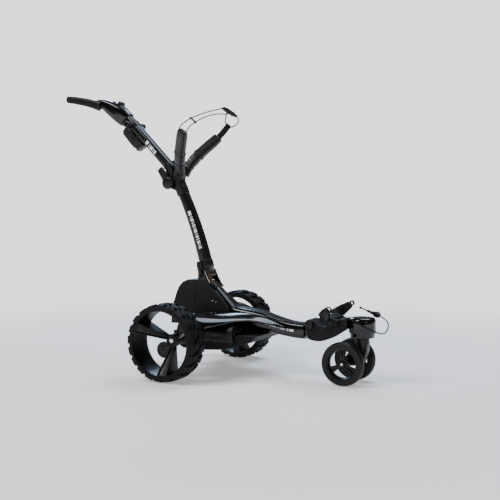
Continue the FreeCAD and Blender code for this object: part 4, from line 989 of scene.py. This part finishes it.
class TROLLEY_OT_front_arm(TrolleyOperator, bpy.types.Operator):
    """S-shaped front arm with its round caps, saddle and bag arms"""

    bl_idname = "trolley.front_arm"
    bl_label = "Front Arm and Cradle"

    def build(self, m, sizes):
        x0 = WHEELBASE - 145.0
        bm = bmesh.new()
        outline = [(x0 + 0.6, 57), (x0 + 8, 70), (x0 + 18, 73.4), (x0 + 29, 71.5), (x0 + 40, 62), (x0 + 50, 53.6),
                   (x0 + 62, 50.4), (x0 + 76, 53), (x0 + 92, 62), (x0 + 107, 72.4), (x0 + 122, 80), (x0 + 148, 83.4),
                   (x0 + 148, 51), (x0 + 136, 44), (x0 + 120, 34), (x0 + 104, 23), (x0 + 90, 14.6), (x0 + 74, 8.2),
                   (x0 + 58, 3.6), (x0 + 44, 2.2), (x0 + 28, 4), (x0 + 12, 7.4)]
        _, faces = slab(bm, outline, -26.6, 26.6)
        bevel(bm, corners(bm, 60.0), 4.0, 4)
        piece("front_arm_moulding", bm, CHASSIS, "chassis", m["matte"], ["front_arm"])
        x = WHEELBASE - 66.0
        bm = bmesh.new()
        for sign in (-1, 1):
            _, faces = slab(bm, [(x - 24, 80), (x - 10, 62.6), (x + 14, 50.6), (x + 39.6, 62.4), (x + 47.6, 76),
                                 (x + 24, 84), (x, 91.6)], sign * 27.2, sign * 45.8)
            bevel(bm, corners(faces), 3.0, 3)
        _, faces = slab(bm, [(x - 23.6, 80), (x - 12, 74), (x + 8, 62), (x + 30, 74), (x + 24, 83), (x, 91)],
                        -27.4, 27.4)
        bevel(bm, corners(faces), 2.0, 2)
        piece("cradle_saddle", bm, CHASSIS, "chassis", m["matte"], ["cradle_base"])
        for side, sign in SIDES:
            bm = bmesh.new()
            path = [((x - 6, 44, 84), 8, 18), ((x + 2, 58, 89), 8, 18), ((x + 12, 74, 95), 7.6, 17),
                    ((x + 24, 90, 107), 7, 14), ((x + 33, 100, 115), 6.4, 12)]
            bar(bm, path, (-0.7, 0, 0.7), 4.5, 36, (2.5, 3.5))
            for share in (0.15, 0.3, 0.45, 0.6, 0.75):
                a, b = Vector((x + 2, 58, 89)), Vector((x + 24, 90, 107))
                spot, run = a.lerp(b, share), (b - a).normalized()
                bar(bm, [(spot - run * 1.2, 8.8 - share, 18.6 - 3 * share), (spot + run * 1.2, 8.8 - share,
                                                                             18.6 - 3 * share)],
                    (-0.7, 0, 0.7), 4.5, 28, (0.5, 0.5))
            piece("cradle_pad_" + side, bm, CHASSIS, "chassis", m["pad"], ["cradle_arms"] if sign < 0 else [],
                  flip=sign < 0)
            bm = bmesh.new()
            lathe(bm, [(5.2, -3.4), (8.2, -3.4), (9.2, -2.4), (9.2, 2.4), (8.2, 3.4), (5.2, 3.4)],
                  (x + 37, 104, 118.6), (0.25, 1.0, 0.15), 40)
            piece("cradle_eyelet_" + side, bm, CHASSIS, "chassis", m["nylon"], flip=sign < 0)
            bm = bmesh.new()
            stick(bm, (x + 19, 46.4, 71), (x + 19, 49.4, 71), 8.0, 32, 1.0)
            stick(bm, (x + 19, 49, 71), (x + 19, 50.6, 71), 4.2, 6, 0.4)
            piece("cradle_bolt_" + side, bm, CHASSIS, "chassis", m["cast"], flip=sign < 0)


# ---- mast ----
def mast_size(along):
    """Middle, half width and half depth of the lower tube at a height along it."""
    share = (along - TUBE_FOOT) / TUBE_RUN
    bow = 8.0 * (1 - (2 * share - 1) ** 2)
    return bow, (46.0 - 6.0 * share) / 2, (40.0 - 7.0 * share) / 2


def wrapped_bars(bm, marks, reading, power, lift=0.25):
    """Thin printed bars on a tube's flank; marks are (from, to, low, high) with the last two from back to front."""
    for s0, s1, low, high in marks:
        made = unit_grid(bm, 6, 6)
        for v in made:
            s = s0 + (s1 - s0) * (v.co.x + 0.5)
            middle, half_y, half_x = reading(s)
            place = low + (high - low) * (v.co.y + 0.5)
            side = (1.0 - abs(place) ** power) ** (1.0 / power)
            v.co = Vector((middle + place * (half_x + lift), -side * (half_y + lift), s))
        thicken(bm, faces_at(made), (0, 1.2, 0))


class TROLLEY_OT_lower_mast(TrolleyOperator, bpy.types.Operator):
    """Socket cheeks, lower tube with its printed bars, and the latch lever"""

    bl_idname = "trolley.lower_mast"
    bl_label = "Lower Mast"

    def build(self, m, sizes):
        bm = bmesh.new()
        for sign in (-1, 1):
            _, faces = slab(bm, [(-14.6, 184), (-14.6, 214), (-10, 221.6), (14, 223.6), (21.6, 223.4), (26, 214),
                                 (33, 198), (46, 175.4), (55.6, 164.6), (55.6, 160), (38, 173), (24, 180), (20, 184)],
                            sign * 23.8, sign * 30.4)
            bevel(bm, corners(faces), 1.8, 3)
            stick(bm, (14, sign * 30, 205), (14, sign * 32.6, 205), 8.4, 40, 1.0)
            stick(bm, (14, sign * 32, 205), (14, sign * 33.0, 205), 4.6, 6, 0.3)
        _, faces = slab(bm, [(24, 180.6), (24, 184.6), (40, 178.6), (56, 164.4), (56, 160.4), (40, 174.6)], -30, 30)
        bevel(bm, corners(faces), 0.9, 2)
        _, faces = slab(bm, [(-14.8, 185.8), (-14.8, 196), (-11, 196), (-11, 185.8)], -30, 30)
        bevel(bm, corners(faces), 0.9, 2)
        piece("socket_cheeks", bm, CHASSIS, "chassis", m["cast"], ["mast_socket"])
        trims = (("socket_trim_steel", -31.0, -9.0, "bright"), ("socket_trim_bronze", -27.1, 0.4, "brass"))
        for name, y, shift, key in trims:
            bm = bmesh.new()
            bar(bm, [((24.0 + shift, y, 218), 1.3, 2.3), ((33.2 + shift, y, 198.2), 1.3, 2.3),
                     ((45.4 + shift, y, 176.6), 1.3, 2.3)], ACROSS, 4.0, 16, (0.5, 0.5))
            piece(name, bm, CHASSIS, "chassis", m[key])
        bm = bmesh.new()
        bar(bm, [((-8, -32.2, 196), 5.0, 3.3), ((-3.4, -32.2, 203), 6.0, 3.7), ((-3.6, -34.6, 216), 6.6, 3.7),
                 ((-9.4, -35.2, 236), 6.4, 3.5), ((-10.4, -35.4, 250), 4.4, 3.0)], ACROSS, 3.4, 24, (2.2, 2.6))
        stick(bm, (-4, -34, 206), (-4, -24.2, 206), 3.0, 24, 0.3)
        piece("latch_lever", bm, CHASSIS, "mast_latch", m["nylon"], ["mast_latch"])
        bm = bmesh.new()
        rows = []
        for s in [TUBE_FOOT + TUBE_RUN * i / 18 for i in range(19)]:
            middle, half_y, half_x = mast_size(s)
            rows.append(((middle, 0, s), half_x, half_y))
        bar(bm, rows, ACROSS, 3.2, 64, (1.2, 1.2))
        piece("lower_tube_coated", bm, MAST, "lower_mast", m["coat"], ["lower_tube"])
        bm = bmesh.new()
        lathe(bm, [(5.2, -22.6), (14.6, -22.6), (15.8, -21.4), (15.8, 21.4), (14.6, 22.6), (5.2, 22.6)], steps=64)
        bar(bm, [((0, 0, 4), 14.6, 20.6), ((0.4, 0, 20), 19.4, 22.4), ((1.2, 0, 25), 21.4, 24.0),
                 ((2.6, 0, 46), 21.2, 23.8), ((3.0, 0, 50), 20.2, 22.9)], ACROSS, 3.4, 56, (1.0, 1.4))
        piece("mast_collar", bm, MAST, "lower_mast", m["nylon"], ["mast_foot"])
        bm = bmesh.new()
        marks = [(s, s + d, -0.05, 0.56) for s, d in ((92, 7), (103, 3), (110, 10), (124, 3), (131, 8), (143, 3),
                                                      (150, 12), (166, 3), (173, 7), (184, 3), (191, 11), (206, 3),
                                                      (214, 16))]
        wrapped_bars(bm, marks, mast_size, 3.2)
        piece("lower_tube_bars", bm, MAST, "lower_mast", m["mark"])


def yoke_point(share):
    """Along a bag arm, in the mast's frame: middle, half height and half thickness."""
    stations = ((0.0, (20, 12, 364), 17, 12), (0.18, (38, 31, 391), 17, 12.5), (0.4, (66, 55, 416), 18, 13),
                (0.62, (91, 77, 434), 18.5, 13), (0.82, (118, 100, 451), 18.5, 12.5),
                (1.0, (141, 120, 466), 17.5, 11.5))
    for (a, p, h, t), (b, q, k, u) in zip(stations, stations[1:]):
        if share <= b:
            f = (share - a) / (b - a)
            return Vector(p).lerp(Vector(q), f), h + (k - h) * f, t + (u - t) * f
    return Vector(stations[-1][1]), stations[-1][2], stations[-1][3]


YOKE_UP = (-0.59, 0.0, 0.81)


def yoke_run(bm, start, end, grow, steps, ends=(2.0, 2.0)):
    """A stretch of the bag arm, thicker all round by grow."""
    rows = []
    for i in range(steps + 1):
        spot, high, thick = yoke_point(start + (end - start) * i / steps)
        rows.append((spot, thick + grow, high + grow))
    bar(bm, rows, YOKE_UP, 3.6, 40, ends)


class TROLLEY_OT_yoke(TrolleyOperator, bpy.types.Operator):
    """Top hub of the lower mast and the two padded bag arms"""

    bl_idname = "trolley.yoke"
    bl_label = "Bag Yoke"

    def build(self, m, sizes):
        top = MAST_TOP
        bm = bmesh.new()
        bar(bm, [((1, 0, top - 20), 18.6, 21.4), ((0, 0, top + 2), 19.0, 22.0), ((-1, 0, top + 16), 17.6, 22.0),
                 ((2, 0, top + 34), 15.6, 21.6), ((12, 0, top + 50), 15.0, 21.0), ((24, 0, top + 64), 16.0, 20.0),
                 ((32, 0, top + 76), 13.0, 17.0)], ACROSS, 3.6, 56, (1.6, 5.0))
        for y0 in (-21.6, 14.6):
            _, faces = slab(bm, [(-43.6, 342.4), (-43.6, 361.6), (-20, 365.6), (-14, 349), (-14, 317), (-30, 330.4)],
                            y0, y0 + 7.2)
            bevel(bm, corners(faces), 2.0, 3)
        piece("yoke_head", bm, MAST, "lower_mast", m["cast"], ["yoke_hub"])
        for side, sign in SIDES:
            flip = sign < 0
            bm = bmesh.new()
            yoke_run(bm, 0.0, 0.62, 0.0, 9)
            yoke_run(bm, 0.18, 0.22, 2.0, 2, ends=(1.2, 1.2))
            piece("yoke_arm_core_" + side, bm, MAST, "lower_mast", m["nylon"], ["yoke_arm_" + side],
                  flip=flip)
            bm = bmesh.new()
            rows = []
            for share, grow in ((0.44, 3.2), (0.47, 2.6), (0.52, 1.2), (0.6, 0.6), (0.72, 0.6), (0.84, 0.8), (0.94, 0.6),
                                (1.0, 0.0)):
                spot, high, thick = yoke_point(share)
                rows.append((spot, thick + grow, high + grow))
            bar(bm, rows, YOKE_UP, 3.4, 48, (2.2, 3.0))
            for share in (0.3, 0.335):
                yoke_run(bm, share, share + 0.016, 1.6, 2, ends=(0.8, 0.8))
            piece("yoke_pad_" + side, bm, MAST, "lower_mast", m["pad"], flip=flip)
            bm = bmesh.new()
            yoke_run(bm, 0.25, 0.41, 1.1, 4, ends=(1.0, 1.0))
            piece("yoke_band_" + side, bm, MAST, "lower_mast", m["coat"], flip=flip)
            bm = bmesh.new()
            spot, high, thick = yoke_point(0.2)
            bar(bm, [(spot + Vector((-14, 2, 16)), 5.5, 7.5), (spot + Vector((-24, 0, 20)), 4.0, 5.5)], ACROSS, 3.0,
                24, (1.5, 2.0))
            piece("yoke_thumb_screw_" + side, bm, MAST, "lower_mast", m["nylon"], flip=flip)


# ---- handle ----
class TROLLEY_OT_upper_mast(TrolleyOperator, bpy.types.Operator):
    """Fold lever, knuckle, upper tube, cross bosses and storage box"""

    bl_idname = "trolley.upper_mast"
    bl_label = "Upper Mast"

    def build(self, m, sizes):
        x = UPPER_X
        half_x, half_y = UPPER_HALF
        lever = (Matrix.Translation(HANDLE.translation) @ Matrix.Rotation(-math.radians(LEVER_LEAN), 4, "Y")
                 @ Matrix.Scale(MM, 4))
        bm = bmesh.new()
        lathe(bm, [(0, -37), (17, -37), (19.4, -36.2), (21.9, -33.4), (21.9, -25), (20.4, -22.7), (0, -22.7)],
              steps=72)
        bar(bm, [((0, -31, 8), 12.6, 5.8), ((0, -31, 30), 12.9, 5.9), ((-1.5, -31, 54), 12.6, 5.9),
                 ((-3, -31, 61.6), 11.6, 5.4)], ACROSS, 3.2, 32, (2.0, 4.6))
        for rib in (5.6, -5.6):
            bar(bm, [((rib, -36.2, 16), 1.2, 0.7), ((rib, -36.6, 52), 1.2, 0.7)], ACROSS, 2.0, 12, (0.5, 0.5))
        stick(bm, (0, -23, 0), (0, 21.6, 0), 5.0, 32, 0.4)
        piece("cam_lever", bm, lever, "fold_lever", m["nylon"], ["fold_lever"])
        bm = bmesh.new()
        lathe(bm, [(5.1, -13.2), (13.6, -13.2), (14.8, -12.2), (14.8, 12.2), (13.6, 13.2), (5.1, 13.2)], steps=64)
        bar(bm, [((-2, 0, 2), 11, 13.2), ((6, 0, 18), 15, 13.2), ((20, 0, 30), 15.6, 15.4), ((31, 0, 38), 16.4, 19.6),
                 ((x, 0, 48), 17.2, 21.0), ((x, 0, 58), 16.9, 20.8)], ACROSS, 3.4, 48, (2.0, 1.4))
        piece("handle_knuckle_moulding", bm, HANDLE, "handle", m["nylon"], ["handle_knuckle"])
        bm = bmesh.new()
        bar(bm, [((x, 0, s), half_x, half_y) for s in (40, 170, 300)], ACROSS, 3.2, 64, (1.2, 1.2))
        piece("upper_tube_coated", bm, HANDLE, "handle", m["coat"], ["upper_tube"])
        bm = bmesh.new()
        marks = ((118, 126, -0.4, 0.4), (130, 133, -0.4, 0.4), (137, 150, -0.4, 0.4), (154, 157, -0.4, 0.4),
                 (164, 176, -0.3, 0.5))
        wrapped_bars(bm, marks, lambda s: (x, half_y, half_x), 3.2)
        piece("upper_tube_bars", bm, HANDLE, "handle", m["mark"])
        bm = bmesh.new()
        for sign in (-1, 1):
            lathe(bm, [(4.6, sign * 38), (4.6, sign * 55.4), (8.4, sign * 55.8), (10.8, sign * 54.4),
                       (11.8, sign * 51), (11.8, sign * 44), (10.4, sign * 42.6), (10.4, sign * 40.6),
                       (11.8, sign * 39), (11.8, sign * 19)], (x, 0, 265), steps=56)
        bar(bm, [((x, 0, 252), 17.4, 21.6), ((x, 0, 278), 17.4, 21.6)], ACROSS, 3.4, 56, (1.6, 1.6))
        piece("cross_bosses", bm, HANDLE, "handle", m["nylon"], ["accessory_mount"])
        bm = bmesh.new()
        _, faces = slab(bm, [(17.4, 178.6), (17.4, 283.4), (-8, 282), (-16.6, 272), (-18.4, 234), (-18.6, 204),
                             (-14, 190), (-4, 182.6)], -18.6, 18.6)
        bevel(bm, corners(faces), 3.2, 3)
        for i in range(9):
            s = 192 + 9.6 * i
            for y in (-18.4, 18.4):
                bar(bm, [((-10, y, s), 1.5, 0.55), ((12, y, s), 1.5, 0.55)], ACROSS, 2.4, 12, (0.5, 0.5))
        for s in (186, 268):
            bar(bm, [((-3, 0, s), 16.0, 18.9), ((-3, 0, s + 5), 16.0, 18.9)], ACROSS, 5.0, 40, (0.8, 0.8))
        piece("storage_box", bm, HANDLE, "handle", m["nylon"], ["remote_box"])


CONSOLE = ((2.0, 24.0, 27.0, 22.0, 4.2), (22.0, 21.6, 30.0, 25.5, 4.0), (42.0, 20.2, 31.0, 28.5, 4.0),
           (62.0, 16.0, 29.0, 30.5, 4.0), (84.0, 12.0, 26.2, 32.5, 4.0), (104.0, 7.6, 22.0, 34.0, 4.0),
           (120.0, 2.0, 18.6, 35.0, 4.0), (132.0, -6.0, 16.6, 35.6, 4.0), (139.0, -12.6, 15.0, 35.0, 4.0))


class TROLLEY_OT_console(TrolleyOperator, bpy.types.Operator):
    """Console with its display, dial, button and swept grips"""

    bl_idname = "trolley.console"
    bl_label = "Console and Grips"

    def build(self, m, sizes):
        z0 = CONSOLE_Z
        bm = bmesh.new()
        rings = []
        for s, middle, half_x, half_y, power in CONSOLE:
            place = Matrix(((1, 0, 0, middle), (0, -1, 0, 0), (0, 0, -1, z0 + s), (0, 0, 0, 1)))
            rings.append(ring(bm, place, half_x * 0.985, half_y * 0.985, power, 48))
        skin_rings(bm, rings)
        bevel(bm, {e for k in (0, -1) for e in rings[k] if e.is_valid}, 2.2, 3)
        piece("console_shell", bm, HANDLE, "handle", m["gloss"], ["console_body"], levels=1)
        self.face(m, z0)
        self.controls(m)
        self.grips(m, z0)

    def face(self, m, z0):
        """Sloping face plate with the display and plain key bars."""
        def front(s):
            middle, half = between([(r[0], r[1]) for r in CONSOLE], s), between([(r[0], r[2]) for r in CONSOLE], s)
            return middle + half * 0.985, between([(r[0], r[3]) for r in CONSOLE], s)
        def plate(bm, s0, s1, share, lift, deep, y_shift=0.0, width=None):
            made = unit_grid(bm, 14, 10)
            for v in made:
                s = s0 + (s1 - s0) * (v.co.x + 0.5)
                n, half = front(s)
                across = v.co.y * 2.0
                wide = width / 2 if width else half * share
                y = across * wide + y_shift
                round_off = (abs(y) / half) ** 4 * half * 0.16
                v.co = Vector((n + lift - round_off, y, z0 + s))
            thicken(bm, faces_at(made), (-deep, 0, 0))
        bm = bmesh.new()
        plate(bm, 5, 84, 0.78, 0.5, 3.0)
        bevel(bm, corners(bm, 50.0), 0.5, 2)
        piece("console_face", bm, HANDLE, "handle", m["matte"])
        bm = bmesh.new()
        plate(bm, 8, 36, 0.6, 1.0, 2.6)
        bevel(bm, corners(bm, 50.0), 0.4, 2)
        piece("display_window", bm, HANDLE, "handle", m["glass"], ["console_panel"])
        bm = bmesh.new()
        for s, y, width, tall in ((12, -9, 7, 3), (12, 0, 5, 3), (12, 8, 6, 3), (18, -8, 9, 2), (18, 5, 11, 2),
                                  (25, -9, 6, 5), (25, 0, 6, 5), (25, 9, 6, 5), (32, 0, 22, 1.6)):
            plate(bm, s - tall / 2, s + tall / 2, 0.5, 1.3, 0.6, y, width)
        piece("display_bars", bm, HANDLE, "handle", m["mark"])
        bm = bmesh.new()
        for y in (-15, -5, 5, 15):
            plate(bm, 41, 46, 0.5, 1.2, 1.4, y, 7)
        bevel(bm, corners(bm, 50.0), 0.4, 2)
        piece("console_keys", bm, HANDLE, "handle", m["grey"])

    def controls(self, m):
        dial = HANDLE @ Matrix.Translation((44, 0, CONSOLE_Z + 64)) @ Matrix.Rotation(math.radians(71.6), 4, "Y")
        bm = bmesh.new()
        lathe(bm, [(0, -14), (3, -14), (3, 1.2), (12.4, 1.2), (13.8, 2.6), (12.6, 9.5), (11.4, 12.6), (9.6, 13.8),
                   (6, 13.2), (0, 13.0)], axis=UPRIGHT, steps=64)
        for i in range(20):
            turn = math.tau * i / 20
            out = Vector((math.cos(turn), math.sin(turn), 0))
            stick(bm, out * 13.2 + Vector((0, 0, 2.8)), out * 12.1 + Vector((0, 0, 11.0)), 0.75, 8, 0.2)
        piece("dial_knob", bm, dial, "speed_dial", m["nylon"], ["speed_dial"])
        bm = bmesh.new()
        lathe(bm, [(15.2, -3), (18.4, -3), (18.0, 1.6), (16.6, 2.6), (15.2, 1.8)], axis=UPRIGHT, steps=64)
        piece("dial_surround", bm, dial, "handle", m["gloss"])
        bm = bmesh.new()
        bar(bm, [((4, 0, 13.6), 0.8, 0.5), ((10, 0, 13.4), 0.8, 0.5)], UPRIGHT, 3.0, 12, (0.3, 0.3))
        piece("dial_pointer", bm, dial, "speed_dial", m["mark"])
        key = HANDLE @ Matrix.Translation((33.4, 0, CONSOLE_Z + 95.5)) @ Matrix.Rotation(math.radians(65.8), 4, "Y")
        bm = bmesh.new()
        lathe(bm, [(0, -13), (2.5, -13), (2.5, -4), (6.9, -4), (6.9, 0.8), (6.2, 1.9), (0, 1.6)], axis=UPRIGHT,
              steps=48)
        piece("power_key", bm, key, "power_button", m["nylon"], ["power_button"])
        bm = bmesh.new()
        lathe(bm, [(2.6, 1.5), (3.4, 1.5), (3.4, 1.98), (2.6, 1.98)], axis=UPRIGHT, steps=32)
        piece("power_key_ring", bm, key, "power_button", m["grey"])

    def grips(self, m, z0):
        path = (((-13, 22, z0 + 116), 15.0, 17.0), ((-13.6, 34, z0 + 122), 14.6, 16.0),
                ((-17, 50, z0 + 131), 13.8, 15.2), ((-23, 70, z0 + 143), 13.0, 14.6),
                ((-34, 108, z0 + 159), 12.0, 13.4),
                ((-43.4, 139, z0 + 168), 11.0, 12.0))
        for side, sign in SIDES:
            bm = bmesh.new()
            bar(bm, list(path), (0.4, 0, 1), 2.2, 48, (2.0, 6.0))
            piece("grip_sleeve_" + side, bm, HANDLE, "handle", m["grip"], ["grips"] if sign < 0 else [],
                  flip=sign < 0)
            bm = bmesh.new()
            bar(bm, [((-13.5, 33, z0 + 121.4), 15.6, 17.0), ((-14.2, 37, z0 + 123.6), 15.2, 16.6)], (0.4, 0, 1), 2.2,
                48, (1.0, 1.0))
            piece("grip_collar_" + side, bm, HANDLE, "handle", m["gloss"], flip=sign < 0)


OPERATORS = (TROLLEY_OT_stage, TROLLEY_OT_cords, TROLLEY_OT_rear_tyres, TROLLEY_OT_rear_rims,
             TROLLEY_OT_front_wheels, TROLLEY_OT_caster, TROLLEY_OT_battery, TROLLEY_OT_body, TROLLEY_OT_covers,
             TROLLEY_OT_drives, TROLLEY_OT_front_arm, TROLLEY_OT_lower_mast, TROLLEY_OT_yoke, TROLLEY_OT_upper_mast,
             TROLLEY_OT_console)


class TROLLEY_PT_panel(bpy.types.Panel):
    """Sizes, colours and the pieces of the trolley"""

    bl_idname = "TROLLEY_PT_panel"
    bl_label = "Golf Trolley"
    bl_space_type = "VIEW_3D"
    bl_region_type = "UI"
    bl_category = "Trolley"

    def draw(self, context):
        for group in (context.scene.trolley_sizes, context.scene.trolley_colours):
            for key in group.__annotations__:
                self.layout.prop(group, key)
        for operator in OPERATORS:
            self.layout.operator(operator.bl_idname)


CLASSES = (TrolleyColours, TrolleySizes, *OPERATORS, TROLLEY_PT_panel)


def register():
    for cls in CLASSES:
        bpy.utils.register_class(cls)
    bpy.types.Scene.trolley_colours = bpy.props.PointerProperty(type=TrolleyColours)
    bpy.types.Scene.trolley_sizes = bpy.props.PointerProperty(type=TrolleySizes)


def unregister():
    del bpy.types.Scene.trolley_sizes
    del bpy.types.Scene.trolley_colours
    for cls in reversed(CLASSES):
        bpy.utils.unregister_class(cls)


def main():
    register()
    for operator in OPERATORS:
        group, name = operator.bl_idname.split(".")
        getattr(getattr(bpy.ops, group), name)()


if __name__ == "__main__":
    main()
